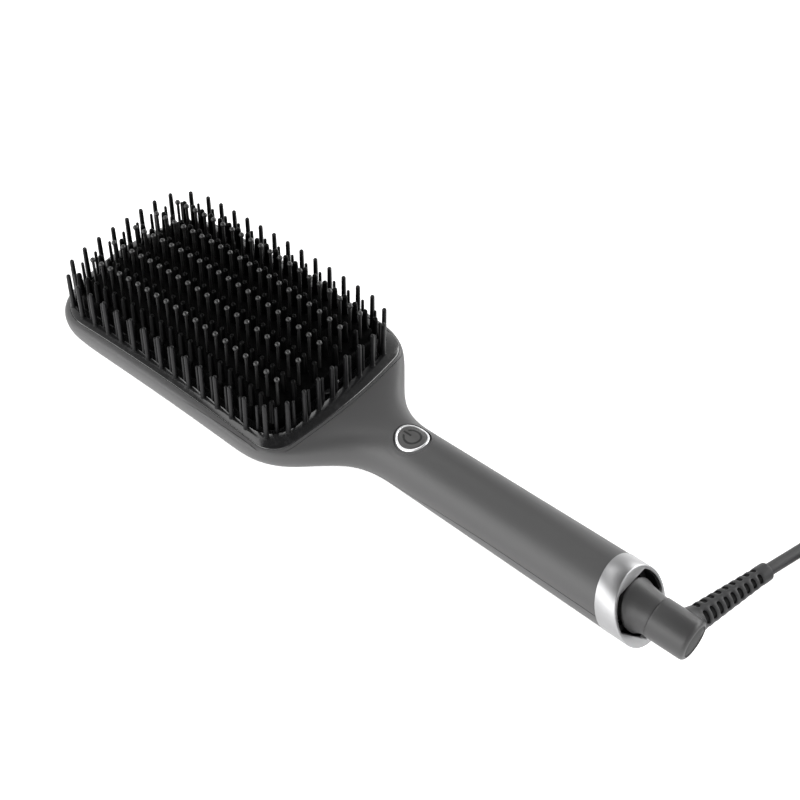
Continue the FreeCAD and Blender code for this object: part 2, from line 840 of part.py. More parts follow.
def heater_block():
    """Ceramic-coated cap with fluted walls, ribs down to the heaters and the heated pins."""
    cap = even_prism(block_corner, 0.0, ledge_rise, 30.0).common(heat_slab(-40.0, block_top_rise))
    room = even_prism(block_corner, -block_wall, -30.0, 30.0)
    room = room.common(heat_slab(-40.0, block_top_rise - block_wall))
    rib_half = block_corner.station - rib_end_margin
    for y in rib_offsets:
        low = V(at(-rib_half), y - rib_width / 2.0, level(rib_foot_rise))
        high = V(at(rib_half), y + rib_width / 2.0, level(30.0))
        room = room.cut(box(low, high))
    cap = cap.cut(room)
    flutes = []
    side_y = block_corner.half_width + block_corner.radius
    groove_count = heated_columns - groove_end_count
    for i in range(groove_count):
        station = (i - (groove_count - 1) / 2.0) * pin_pitch
        for y in (-side_y - groove_set_out, side_y + groove_set_out):
            flutes.append(post(at(station), y, level(-12.0), level(12.0), groove_radius))
    cap = cap.cut(flutes)
    cap = cap.cut([post(at(x), y, level(-10.0), level(12.0), ball_hole_radius) for x, y in ball_places()])
    pins = []
    for station, y in heated_places():
        fall = heat_rise(station, y)
        foot = level(block_top_rise - block_wall / 2.0 + fall)
        top = level(heated_top_rise + fall)
        pins.append(bristle(at(station), y, foot, top, heated_root_radius, heated_tip_radius))
    return cap.multiFuse(pins)


def ball_pin_comb():
    """Cool comb: a plate under the heated cap with ball-tipped pins through its holes."""
    under = block_top_rise - block_wall
    plate = even_prism(block_corner, -block_wall - comb_clearance, -30.0, 30.0)
    plate = plate.common(heat_slab(under - comb_thickness, under))
    for y in rib_offsets:
        half = rib_width / 2.0 + rib_clearance
        reach = block_corner.station - comb_slot_margin
        plate = plate.cut(box(V(at(-reach), y - half, level(-30.0)), V(at(reach), y + half, level(30.0))))
    pins = []
    for station, y in ball_places():
        fall = heat_rise(station, y)
        foot = level(under - comb_thickness / 2.0 + fall)
        pins.append(ball_pin(at(station), y, foot, level(ball_centre_rise + fall)))
    return plate.multiFuse(pins)


def heater_element(y):
    """Flat ceramic heater pressed against one rib."""
    half = heater_length / 2.0
    low = V(at(-half), y - heater_width / 2.0, level(rib_foot_rise - heater_thickness))
    high = V(at(half), y + heater_width / 2.0, level(rib_foot_rise))
    return box(low, high)


def clamp_plate():
    """Spring plate that presses both heaters against the ribs."""
    top = rib_foot_rise - heater_thickness
    half = heater_length / 2.0 + clamp_margin
    side = rib_offsets[1] + heater_width / 2.0 + clamp_margin
    plate = box(V(at(-half), -side, level(pad_top_rise)), V(at(half), side, level(top)))
    windows = []
    for i in range(5):
        station = (i - 2) * clamp_window_pitch
        low = V(at(station - clamp_window_half), -clamp_window_half, level(-20.0))
        windows.append(box(low, V(at(station + clamp_window_half), clamp_window_half, level(20.0))))
    return plate.cut(windows)


def insulation_pad():
    """Mica and felt pad between the clamp plate and the carrier."""
    return even_prism(block_corner, -block_wall - pad_inset, ledge_rise, pad_top_rise)


def heater_carrier():
    """Plastic plate that closes the face from below and takes the cover's screws."""
    plate = even_prism(carrier_corner, 0.0, ledge_rise - carrier_thickness, ledge_rise)
    bore_end = level(ledge_rise - cover_screw_tip_gap)
    for station, y in cover_screw_places:
        plate = plate.cut(post(at(station), y, level(-20.0), bore_end, screw_radius))
    return plate.cut(post(at(lead_hole_station), 0, level(-20.0), level(20.0), lead_hole_radius))


def thermal_fuse():
    """Cut-out fuse on the insulation pad, in the clamp plate's middle window."""
    start = V(at(-thermal_fuse_length / 2.0), 0, level(pad_top_rise + thermal_fuse_radius))
    return Part.makeCylinder(thermal_fuse_radius, thermal_fuse_length, start, ALONG)


def thermistor():
    """Temperature sensor bead on the insulation pad, with its lead."""
    centre = V(at(thermistor_station), 0, level(pad_top_rise + thermistor_radius))
    bead = Part.makeSphere(thermistor_radius, centre)
    return bead.fuse(Part.makeCylinder(thermistor_lead_radius, thermistor_lead_length, centre, ALONG))


# ================================================================ power button
def ring_about_button(outer, inner, low_rise, high_rise):
    """Upright ring about the button's axis."""
    x = at(button_station)
    ring = post(x, 0, level(low_rise), level(high_rise), outer)
    return ring.cut(post(x, 0, level(low_rise - 1.0), level(high_rise + 1.0), inner))


def light_ring():
    """Bright ring round the cap that follows the handle's curve."""
    ring = ring_about_button(light_ring_radius, light_ring_radius - light_ring_width, ring_foot_rise, 4.0)
    return ring.common(handle_at_button(light_ring_proud))


def cap_blank():
    """Button cap before the symbol is let in."""
    x = at(button_station)
    cap_radius = light_ring_radius - light_ring_width - cap_clearance
    flange_top = ring_foot_rise - flange_gap
    flange = post(x, 0, level(flange_top - cap_flange_thickness), level(flange_top), cap_flange_radius)
    stem_end_rise = board_top_rise + switch_height + button_travel + stem_play
    stem = post(x, 0, level(stem_end_rise), level(flange_top), stem_radius)
    body = post(x, 0, level(flange_top - cap_flange_thickness), level(4.0), cap_radius)
    return body.fuse([flange, stem]).common(handle_at_button(-cap_recess))


def power_symbol():
    """Broken circle and bar, let into the top of the cap."""
    x = at(button_station)
    half = symbol_line / 2.0
    circle = ring_about_button(symbol_radius + half, symbol_radius - half, -6.0, 4.0)
    gap_half = symbol_gap_width / 2.0
    gap_start = V(x - symbol_gap_reach, -gap_half, level(-8.0))
    circle = circle.cut(box(gap_start, V(x - symbol_gap_start, gap_half, level(6.0))))
    bar_start = V(x - symbol_radius - symbol_bar_start, -half, level(-6.0))
    bar = box(bar_start, V(x - symbol_bar_end, half, level(4.0)))
    skin = handle_at_button(-cap_recess).cut(handle_at_button(-cap_recess - symbol_depth))
    mark = circle.common(skin).Solids + bar.common(skin).Solids
    return Part.makeCompound([solid for solid in mark if solid.CenterOfMass.z > handle_axis_z])


def return_pad():
    """Rubber dome that pushes the cap back up; it shortens as the cap goes down."""
    top = ring_foot_rise - flange_gap - cap_flange_thickness - well_floor_rise
    inside = return_pad_radius - return_pad_wall
    profile = [
        (0.0, return_pad_radius),
        (return_pad_foot, return_pad_radius),
        (top, return_pad_top_radius),
        (top, return_pad_top_radius - return_pad_top_wall),
        (return_pad_foot, inside),
        (0.0, inside),
    ]
    return turned(profile, V(at(button_station), 0, level(well_floor_rise)), UP)


# ================================================================ electronics
def control_board():
    """Circuit board on two posts in the handle."""
    low = V(at(board_start), -board_width / 2.0, level(board_top_rise - board_thickness))
    board = box(low, V(at(board_end), board_width / 2.0, level(board_top_rise)))
    holes = [post(at(s), 0, level(board_bore_rise), level(0.0), screw_radius) for s in board_post_stations]
    return board.cut(holes)


def board_screws():
    """Two pan-head screws through the board."""
    screws = []
    for station in board_post_stations:
        head_top = level(board_top_rise + board_screw_head_height)
        head = post(at(station), 0, level(board_top_rise), head_top, board_screw_head_radius)
        shank = post(at(station), 0, level(board_screw_tip_rise), level(board_top_rise), screw_radius)
        screws.append(head.fuse(shank))
    return Part.makeCompound(screws)


def on_board(station, y, length, width, height):
    """Block that stands on the board."""
    low = V(at(station) - length / 2.0, y - width / 2.0, level(board_top_rise))
    return box(low, low + V(length, width, height))


def tact_switch():
    """Switch under the button's stem."""
    body = on_board(button_station, 0.0, switch_side, switch_side, switch_body_height)
    foot = level(board_top_rise + switch_body_height - switch_plunger_seat)
    top = level(board_top_rise + switch_height)
    return body.fuse(post(at(button_station), 0, foot, top, switch_plunger_radius))


def triac():
    """Power switch with its heat spreader."""
    body = on_board(triac_station, 4.0, 10.0, 3.4, 9.0)
    return body.fuse(on_board(triac_station, 6.2, 12.0, 1.2, 8.0))


def board_fuse():
    """Glass fuse between two clips."""
    start = V(at(fuse_start), fuse_y, level(board_top_rise + fuse_axis_height))
    tube = Part.makeCylinder(fuse_radius, fuse_length, start, ALONG)
    clip_stations = (fuse_start + fuse_clip_inset, fuse_start + fuse_length - fuse_clip_inset)
    clips = [on_board(station, fuse_y, 2.0, 4.6, 2.4) for station in clip_stations]
    return tube.fuse(clips)


def slip_contacts():
    """Two sprung brushes that feed the turning spindle."""
    blades = []
    top = handle_axis_z - spindle_radius - slip_ring_thickness - slip_contact_gap
    foot = top - slip_blade_thickness
    for station in slip_ring_stations:
        low = V(at(station - slip_blade_half), -slip_blade_half_width, foot)
        blade = box(low, V(at(station + slip_blade_half), slip_blade_half_width, top))
        leg_end = V(at(station), slip_leg_half_width, foot + slip_leg_thickness)
        leg = box(V(at(slip_leg_start), -slip_leg_half_width, foot), leg_end)
        blades.append(blade.fuse(leg))
    return Part.makeCompound([blades[0].fuse(blades[1])])


# ================================================================ end ring, boot and swivel
def opening(radius, half_height, start, end):
    """Round opening with a flat top and bottom, along the handle."""
    flat = box(
        V(at(start), -radius - 1.0, handle_axis_z - half_height),
        V(at(end), radius + 1.0, handle_axis_z + half_height),
    )
    return rod(start, end, radius).common(flat)


def end_ring():
    """Bright ring with leaning ends and a web round the cord's opening."""
    ring = rod(178.0, 215.0, ring_radius).common(behind(ring_front_station, ring_front_slope))
    ring = ring.cut(behind(shell_end_station + seam_gap, shell_end_slope))
    bore = rod(170.0, 216.0, ring_bore).common(behind(ring_front_station - ring_web, ring_front_slope))
    ring = ring.cut(bore)
    return ring.cut(opening(ring_bore, opening_half_height, 170.0, 216.0))


def inner_sleeve():
    """Dark lining of the ring with a bulkhead round the boot."""
    sleeve = rod(178.0, 215.0, ring_bore).common(behind(ring_front_station - ring_web, ring_front_slope))
    sleeve = sleeve.cut(behind(bulkhead_station, shell_end_slope))
    room = opening(ring_bore - sleeve_wall, opening_half_height, 170.0, 216.0)
    sleeve = sleeve.cut(room.cut(behind(bulkhead_station + bulkhead_thickness, shell_end_slope)))
    return sleeve.cut(rod(170.0, 216.0, boot_radius))


def leaning_ring(station, slope, radius):
    """Closed curve of a round section that leans along the handle."""
    points = []
    for i in range(24):
        angle = 2.0 * math.pi * i / 24
        height = radius * math.sin(angle)
        points.append(V(at(station) - slope * height, radius * math.cos(angle), handle_axis_z + height))
    curve = Part.BSplineCurve()
    curve.interpolate(Points=points, PeriodicFlag=True)
    return Part.Wire([curve.toShape()])


def swivel_boot():
    """Fixed boot: flange behind the bulkhead, leaning flare and a waist to the barrel."""
    waist = Part.makeLoft(
        [
            leaning_ring(boot_edge_station - boot_lip_setback, boot_edge_slope, boot_radius - boot_lip),
            leaning_ring(boot_mid_station, boot_mid_slope, boot_mid_radius),
            leaning_ring(boot_end_station, 0.0, boot_waist_radius),
        ],
        True,
        False,
    )
    body = rod(186.0, 215.0, boot_radius).common(behind(boot_edge_station, boot_edge_slope))
    flange = rod(170.0, 200.0, boot_flange_radius).common(behind(bulkhead_station, shell_end_slope))
    flange = flange.cut(behind(bulkhead_station - boot_flange_length, shell_end_slope))
    body = body.cut(behind(bulkhead_station - boot_flange_length, shell_end_slope))
    boot = body.fuse([waist, flange])
    boot = boot.cut(rod(bush_start, 215.0, bush_radius))
    return boot.cut(rod(170.0, bush_start, bush_radius + bush_room))


def swivel_bush():
    """Bearing bush of the swivel."""
    tube = rod(bush_start, boot_end_station, bush_radius)
    return tube.cut(rod(170.0, 215.0, spindle_radius + spindle_clearance))


def swivel_spindle():
    """Turning spindle with a retaining flange behind the bush."""
    spindle = rod(spindle_start, spindle_end, spindle_radius)
    flange_end = bush_start - spindle_flange_gap
    return spindle.fuse(rod(flange_end - spindle_flange_length, flange_end, spindle_flange_radius))


def spindle_rings():
    """Brass slip rings on the spindle."""
    rings = []
    for station in slip_ring_stations:
        ring = rod(station - slip_ring_half, station + slip_ring_half, spindle_radius + slip_ring_thickness)
        rings.append(ring.cut(rod(170.0, 200.0, spindle_radius)))
    return Part.makeCompound(rings)


def relief_direction():
    """Direction in which the cord leaves the barrel."""
    return V(math.sin(relief_turn), math.cos(relief_turn), 0)


def relief_origin():
    """Where the strain relief's axis meets the swivel's axis."""
    return V(at(relief_axis_station), 0, handle_axis_z)


def disc_pocket():
    """Room for the disc in the barrel's end."""
    floor = barrel_end_station - end_disc_recess - end_disc_thickness
    return rod(floor, barrel_end_station + 1.0, end_disc_radius)


def strain_relief(cord):
    """Tapered relief with four rows of slots, a plain collar and a seat for the cord."""
    collar_start = relief_length - relief_collar
    profile = [
        (relief_root_depth, 0.0),
        (relief_root_depth, relief_root_radius + relief_flare),
        (barrel_radius + relief_flare, relief_root_radius + relief_flare / 2.0),
        (barrel_radius + relief_flare_length, relief_root_radius),
        (collar_start, relief_tip_radius),
        (relief_length - relief_tip_edge, relief_tip_radius),
        (relief_length, relief_tip_radius - relief_tip_edge),
        (relief_length, 0.0),
    ]
    relief = turned(profile, relief_origin(), relief_direction())
    cutters = []
    for i in range(relief_slots):
        for quarter in range(4):
            along = relief_first_slot + i * relief_slot_pitch
            low = V(-relief_slot_span / 2.0, along, relief_core_radius)
            high = V(relief_slot_span / 2.0, along + relief_slot_width, 9.0)
            cutter = box(low, high)
            cutter.rotate(V(0, 0, 0), ACROSS, 45.0 + 90.0 * quarter)
            cutter.rotate(V(0, 0, 0), UP, -math.degrees(relief_turn))
            cutter.translate(relief_origin())
            cutters.append(cutter)
    return relief.cut(cutters + [disc_pocket(), cord])


def swivel_barrel(relief):
    """Turning barrel that sends the cord off to the side."""
    start = boot_end_station + swivel_gap
    edge = barrel_edge * (1.0 - math.sqrt(0.5))
    profile = [
        (start, 0.0),
        (start, barrel_radius - barrel_start_edge),
        (start + barrel_start_edge, barrel_radius),
        (barrel_end_station - barrel_edge, barrel_radius),
        (barrel_end_station - edge, barrel_radius - edge),
        (barrel_end_station, barrel_radius - barrel_edge),
        (barrel_end_station, 0.0),
    ]
    barrel = turned(profile, V(at(0.0), 0, handle_axis_z), ALONG)
    barrel = barrel.cut(rod(start, spindle_end, spindle_radius))
    return barrel.cut([disc_pocket(), relief])


def end_disc():
    """Flat disc let into the barrel's end."""
    end = barrel_end_station - end_disc_recess
    return rod(end - end_disc_thickness, end, end_disc_radius)


# ================================================================ cord and plug
def tube_along(route, diameter, name):
    """Round tube on straight runs joined by tangent arcs as large as the runs allow."""
    edges = []
    here = route[0]
    radii = []
    for before, corner, after in zip(route, route[1:], route[2:]):
        into = corner - before
        out = after - corner
        turn = into.getAngle(out)
        setback = 0.45 * min(into.Length, out.Length)
        radius = setback / math.tan(turn / 2.0)
        radii.append(radius)
        into.normalize()
        out.normalize()
        start = corner - into * setback
        end = corner + out * setback
        bisector = out - into
        bisector.normalize()
        middle = corner + bisector * (radius / math.cos(turn / 2.0) - radius)
        edges.append(Part.LineSegment(here, start).toShape())
        edges.append(Part.Arc(start, middle, end).toShape())
        here = end
    edges.append(Part.LineSegment(here, route[-1]).toShape())
    path = Part.Wire(edges)
    first = route[1] - route[0]
    section = Part.Wire([Part.makeCircle(diameter / 2.0, route[0], first)])
    tube = path.makePipeShell([section], True, False)
    expected = path.Length * math.pi * diameter ** 2 / 4.0
    print("%s radii %s, length %.1f, volume %.1f of %.1f" % (
        name, ["%.0f" % r for r in radii], path.Length, tube.Volume, expected))
    return tube


def cord_tie():
    """Strap round the coil's bundle."""
    middle = coil_centre + V(coil_turn_radius, 0, coil_band / 2.0)
    half = coil_band / 2.0
    outer = box(middle - V(half, tie_width / 2.0, half), middle + V(half, tie_width / 2.0, half))
    inner_half = half - tie_thickness
    reach = tie_width / 2.0 + 1.0
    inner = box(middle - V(inner_half, reach, inner_half), middle + V(inner_half, reach, inner_half))
    return outer.cut(inner)


def cord_coil(tie):
    """Outer shape of the coiled cord, with a waist under the strap."""
    low = coil_turn_radius - coil_band / 2.0
    ring = Part.makeCylinder(low + coil_band, coil_band, coil_centre, UP)
    ring = ring.cut(Part.makeCylinder(low, coil_band, coil_centre, UP))
    ring = ring.makeFillet(coil_round, [edge for edge in ring.Edges if len(edge.Vertexes) == 1])
    middle = coil_centre + V(coil_turn_radius, 0, 0)
    reach = coil_band / 2.0 + coil_tie_land
    centre = middle + V(0, 0, coil_band / 2.0)
    slice_box = box(centre - V(reach, tie_width / 2.0, reach), centre + V(reach, tie_width / 2.0, reach))
    waist_half = coil_band / 2.0 - tie_thickness
    waist = box(centre - V(waist_half, reach, waist_half), centre + V(waist_half, reach, waist_half))
    return ring.cut(slice_box.cut(waist))


def plug_section(y, width, height):
    """Flat-sided section of the plug with round ends."""
    radius = height / 2.0
    half = width / 2.0 - radius
    z = plug_thickness / 2.0
    left = V(plug_axis_x - half, y, z)
    right = V(plug_axis_x + half, y, z)
    up = V(0, 0, radius)
    out = V(radius, 0, 0)
    edges = [
        Part.LineSegment(left + up, right + up).toShape(),
        Part.Arc(right + up, right + out, right - up).toShape(),
        Part.LineSegment(right - up, left - up).toShape(),
        Part.Arc(left - up, left - out, left + up).toShape(),
    ]
    return Part.Wire(edges)


def plug_body():
    """Slim two-pin plug body that narrows to the cord."""
    rear = plug_relief_start_y - plug_relief_length
    sections = [
        plug_section(rear, plug_tail_width, plug_tail_thickness),
        plug_section(rear - plug_shoulder_length, plug_shoulder_width, plug_thickness),
        plug_section(rear - plug_grip_length, plug_width, plug_thickness),
        plug_section(rear - plug_body_length, plug_width, plug_thickness),
    ]
    return Part.makeLoft(sections, True, True)


def plug_relief(tail):
    """Ribbed relief between the cord and the plug, with a seat for the cord."""
    tip = cord_diameter / 2.0 + plug_relief_tip_wall
    root = tip + plug_relief_growth
    land = plug_relief_end_land
    profile = [(0.0, 0.0), (0.0, tip)]
    rib_pitch = (plug_relief_length - 2.0 * land) / plug_relief_ribs
    for i in range(plug_relief_ribs):
        start = land + i * rib_pitch
        end = start + rib_pitch * 0.5
        radius = tip + plug_relief_growth * start / plug_relief_length
        valley = radius - plug_relief_rib_depth
        profile += [(start, radius), (end, radius), (end, valley), (start + rib_pitch, valley)]
    profile += [(plug_relief_length - land, root), (plug_relief_length, root), (plug_relief_length, 0.0)]
    relief = turned(profile, tail_end, V(0, -1, 0))
    return relief.cut(tail)


def pin_roots():
    """Where each contact pin leaves the plug's face."""
    face = plug_relief_start_y - plug_relief_length - plug_body_length
    return [V(plug_axis_x + side * plug_pin_spacing / 2.0, face, plug_thickness / 2.0) for side in (-1, 1)]


def plug_pins():
    """Two round contact pins, slimmer under their sleeves."""
    out = V(0, -1, 0)
    core_radius = plug_pin_radius - plug_sleeve_step - plug_sleeve_wall
    pins = []
    for root in pin_roots():
        bare_length = plug_pin_length - plug_sleeve_length
        bare = Part.makeCylinder(plug_pin_radius, bare_length, root + out * plug_sleeve_length, out)
        rims = [edge for edge in bare.Edges if len(edge.Vertexes) == 1]
        tip = [min(rims, key=lambda edge: edge.CenterOfMass.y)]
        core = Part.makeCylinder(core_radius, plug_sleeve_length + plug_pin_root_depth, root, out)
        pins.append(bare.makeFillet(plug_pin_tip_round, tip).fuse(core))
    return Part.makeCompound(pins)


def plug_sleeves():
    """Insulating sleeves on the roots of the pins."""
    out = V(0, -1, 0)
    radius = plug_pin_radius - plug_sleeve_step
    sleeves = []
    for root in pin_roots():
        sleeve = Part.makeCylinder(radius, plug_sleeve_length, root, out)
        sleeves.append(sleeve.cut(Part.makeCylinder(radius - plug_sleeve_wall, plug_sleeve_length, root, out)))
    return Part.makeCompound(sleeves)


def heater_leads():
    """Two insulated wires from the heater carrier to the control board."""
    leads = []
    for y in (-lead_spacing / 2.0, lead_spacing / 2.0):
        route = [
            V(at(lead_hole_station), y, level(ledge_rise - 0.5)),
            V(at(53.5), y * 1.2, level(-13.0)),
            V(at(61.0), y * 1.6, level(-15.8)),
            V(at(75.0), y * 2.4, level(-16.4)),
            V(at(board_start), y * 3.0, level(board_top_rise - board_thickness / 2.0)),
        ]
        leads.append(tube_along(route, lead_diameter, "heater lead"))
    return Part.makeCompound(leads)


# ================================================================ build
os.makedirs("parts", exist_ok=True)
housing = hollow_housing()
save("main_shell", main_shell(housing))
save("back_cover", back_cover(housing))
save("cover_screws", cover_screws())
save("screw_covers", screw_covers())
save("front_frame", front_frame())
save("bristle_tray", bristle_tray())
save("heater_block", heater_block())
save("ball_pin_comb", ball_pin_comb())
save("heater_left", heater_element(rib_offsets[1]))
save("heater_right", heater_element(rib_offsets[0]))
save("clamp_plate", clamp_plate())
save("insulation_pad", insulation_pad())
save("heater_carrier", heater_carrier())
save("thermal_fuse", thermal_fuse())
save("thermistor", thermistor())
save("light_ring", light_ring())
symbol = power_symbol()
save("button_cap", cap_blank().cut(symbol))
save("power_symbol", symbol)
save("return_pad", return_pad())
save("control_board", control_board())
save("board_screws", board_screws())
save("tact_switch", tact_switch())
save("status_led", on_board(button_station - led_offset, 0.0, 1.6, 2.4, 1.0))
save("filter_capacitor", on_board(131.0, 3.6, 16.0, 7.0, 8.0))
save("triac", triac())
save("board_fuse", board_fuse())
save("control_chip", on_board(triac_station, -4.0, 9.0, 5.0, 1.6))
save("connector_block", on_board(158.0, 0.0, 6.0, 12.0, 6.0))
save("slip_contacts", slip_contacts())
save("heater_leads", heater_leads())
save("end_ring", end_ring())
save("inner_sleeve", inner_sleeve())
save("swivel_boot", swivel_boot())
save("swivel_bush", swivel_bush())
save("swivel_spindle", swivel_spindle())
save("spindle_rings", spindle_rings())
cord = tube_along(cord_route, cord_diameter, "cord")
relief = strain_relief(cord)
save("swivel_barrel", swivel_barrel(relief))
save("barrel_end_disc", end_disc())
save("strain_relief", relief)
save("cord_tube", cord)
tie = cord_tie()
save("cord_coil", cord_coil(tie))
save("cord_tie", tie)
tail = tube_along(tail_route, cord_diameter, "tail")
save("cord_tail", tail)
save("plug_relief", plug_relief(tail))
save("plug_body", plug_body())
save("plug_pins", plug_pins())
save("plug_sleeves", plug_sleeves())
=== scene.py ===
"""Electric paddle straightening brush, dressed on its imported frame.

Metres, +Z up.  The brush lies on its back with the bristles up; X runs from the head
to the cord end.  A station is a distance along X from the middle of the bristle field
and a rise is a height above the foot of the tall bristles there, both in millimetres,
as in the source.
"""
import logging
import math
from dataclasses import dataclass, field, replace
from enum import Enum
from typing import Callable, Iterable, Sequence

import bmesh
import bpy
from mathutils import Matrix, Vector


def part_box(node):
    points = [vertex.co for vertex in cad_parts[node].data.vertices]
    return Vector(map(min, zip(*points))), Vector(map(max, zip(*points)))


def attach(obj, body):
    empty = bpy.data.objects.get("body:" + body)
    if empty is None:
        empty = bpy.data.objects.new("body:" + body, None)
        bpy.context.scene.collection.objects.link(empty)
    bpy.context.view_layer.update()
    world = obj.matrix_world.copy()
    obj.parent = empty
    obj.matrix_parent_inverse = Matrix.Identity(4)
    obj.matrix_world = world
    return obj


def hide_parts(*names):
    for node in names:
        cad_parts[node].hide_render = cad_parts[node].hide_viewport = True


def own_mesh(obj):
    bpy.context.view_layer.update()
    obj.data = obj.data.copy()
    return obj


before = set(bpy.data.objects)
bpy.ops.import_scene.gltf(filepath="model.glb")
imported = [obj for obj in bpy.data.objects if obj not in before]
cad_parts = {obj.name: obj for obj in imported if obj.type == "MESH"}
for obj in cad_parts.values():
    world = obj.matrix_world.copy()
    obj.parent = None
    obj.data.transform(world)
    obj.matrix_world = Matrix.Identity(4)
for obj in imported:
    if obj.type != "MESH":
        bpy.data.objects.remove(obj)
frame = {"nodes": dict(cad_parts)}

Triple = tuple[float, float, float]
Pairs = Sequence[tuple[float, float]]
Loop = list[bmesh.types.BMEdge]

LOG = logging.getLogger("brush")
MM = 0.001
FIELD_X = -0.078
BASE_Z = 0.028
AXIS_Z = 0.0139
AXIS_RISE = (AXIS_Z - BASE_Z) / MM
ORIGIN = Vector((0.0, 0.0, 0.0))
ALONG = Vector((1.0, 0.0, 0.0))
ACROSS = Vector((0.0, 1.0, 0.0))
UP = Vector((0.0, 0.0, 1.0))


# ------------------------------------------------------------------ shader expressions
class Value:
    """A shader socket that takes part in Python arithmetic."""

    def __init__(self, net: "Graph", socket: bpy.types.NodeSocket) -> None:
        """Wraps one output socket of a node tree."""
        self.net = net
        self.socket = socket

    def _math(self, operation: str, first: object, second: object) -> "Value":
        """One Math node over two numbers or values."""
        node = self.net.node("ShaderNodeMath", {"operation": operation}, {0: first, 1: second})
        return self.net.out(node)

    def __add__(self, other: object) -> "Value":
        """Sum."""
        return self._math("ADD", self, other)

    __radd__ = __add__

    def __sub__(self, other: object) -> "Value":
        """Difference."""
        return self._math("SUBTRACT", self, other)

    def __rsub__(self, other: object) -> "Value":
        """Reflected difference."""
        return self._math("SUBTRACT", other, self)

    def __mul__(self, other: object) -> "Value":
        """Product."""
        return self._math("MULTIPLY", self, other)

    __rmul__ = __mul__


class Graph:
    """Node tree whose links and numbers are written as Python."""

    def __init__(self, tree: bpy.types.NodeTree) -> None:
        """Wraps a node tree."""
        self.tree = tree

    def node(self, kind: str, settings: dict | None = None, inputs: dict | None = None) -> bpy.types.Node:
        """Adds a node.

        Args:
            kind: The node's type.
            settings: Its properties, set first; "stops" gives a ramp's stops.
            inputs: Numbers, tuples or values for its sockets, by name or number.

        Returns:
            The new node.
        """
        node = self.tree.nodes.new(kind)
        for key, value in (settings or {}).items():
            if key == "stops":
                self._set_stops(node.color_ramp, value)
            else:
                setattr(node, key, value)
        for key, value in (inputs or {}).items():
            self.feed(node.inputs[key], value)
        return node

    @staticmethod
    def _set_stops(ramp: bpy.types.ColorRamp, stops: Pairs) -> None:
        """Places a ramp's stops.

        Args:
            ramp: The ramp of a new node.
            stops: A position and a grey for each stop.
        """
        while len(ramp.elements) < len(stops):
            ramp.elements.new(1.0)
        for element, (position, shade) in zip(ramp.elements, stops):
            element.position = position
            element.color = (shade, shade, shade, 1.0)

    def feed(self, socket: bpy.types.NodeSocket, value: object) -> None:
        """Links a value to a socket, or sets the socket's own number or colour.

        Args:
            socket: An input of a node.
            value: A value, a number, or a tuple for a colour or vector.
        """
        if isinstance(value, Value):
            self.tree.links.new(value.socket, socket)
        elif isinstance(value, tuple) and socket.type == "RGBA":
            socket.default_value = (*value, 1.0)
        else:
            socket.default_value = value

    def out(self, node: bpy.types.Node, name: str | int = 0) -> Value:
        """One output of a node as a value."""
        return Value(self, node.outputs[name])

    def ramp(self, value: Value, stops: Pairs) -> Value:
        """A value passed through a ramp."""
        return self.out(self.node("ShaderNodeValToRGB", {"stops": stops}, {"Fac": value}))

    def mix(self, factor: Value, first: object, second: object) -> Value:
        """Blend of two colours by a factor."""
        node = self.node("ShaderNodeMix", {"data_type": "RGBA"}, {0: factor, 6: first, 7: second})
        return self.out(node, 2)


class Net(Graph):
    """Node tree of one material."""

    def __init__(self, name: str) -> None:
        """Starts a material with its Principled shader.

        Args:
            name: The material's name.
        """
        self.material = bpy.data.materials.new(name)
        self.material.use_nodes = True
        super().__init__(self.material.node_tree)
        self.shader = self.tree.nodes["Principled BSDF"]
        self.place = self.out(self.node("ShaderNodeTexCoord"), "Object")

    def noise(
        self, scale: float, detail: float = 3.0, roughness: float = 0.5, stretch: Triple = (1.0, 1.0, 1.0)
    ) -> Value:
        """Fractal noise from 0 to 1 on object coordinates.

        Args:
            scale: Features a metre.
            detail: Octaves.
            roughness: Weight of the finer octaves.
            stretch: Factors for X, Y and Z.

        Returns:
            The noise.
        """
        mapped = self.node("ShaderNodeMapping", None, {"Vector": self.place, "Scale": stretch})
        inputs = {"Vector": self.out(mapped), "Scale": scale, "Detail": detail, "Roughness": roughness}
        return self.out(self.node("ShaderNodeTexNoise", None, inputs))

    def bump(self, height: Value, depth: float, strength: float) -> Value:
        """Normal that follows a height from 0 to 1, `depth` metres deep."""
        inputs = {"Height": height, "Distance": depth, "Strength": strength}
        return self.out(self.node("ShaderNodeBump", None, inputs))

    def set(self, **sockets: object) -> bpy.types.Material:
        """Feeds the shader's sockets.

        Args:
            sockets: Each socket's value, with _ for a space in its name.

        Returns:
            The material.
        """
        for name, value in sockets.items():
            self.feed(self.shader.inputs[name.replace("_", " ")], value)
        return self.material


# ------------------------------------------------------------------ finishes
@dataclass(frozen=True)
class Finish:
    """What every finish has: its name and its main colour."""

    name: str
    colour: Triple

    def toned(self, factor: float, lift: float = 0.0) -> Triple:
        """The main colour times a factor, and lifted."""
        return tuple(min(channel * factor + lift, 1.0) for channel in self.colour)

    def make(self) -> bpy.types.Material:
        """Builds the material."""
        raise NotImplementedError


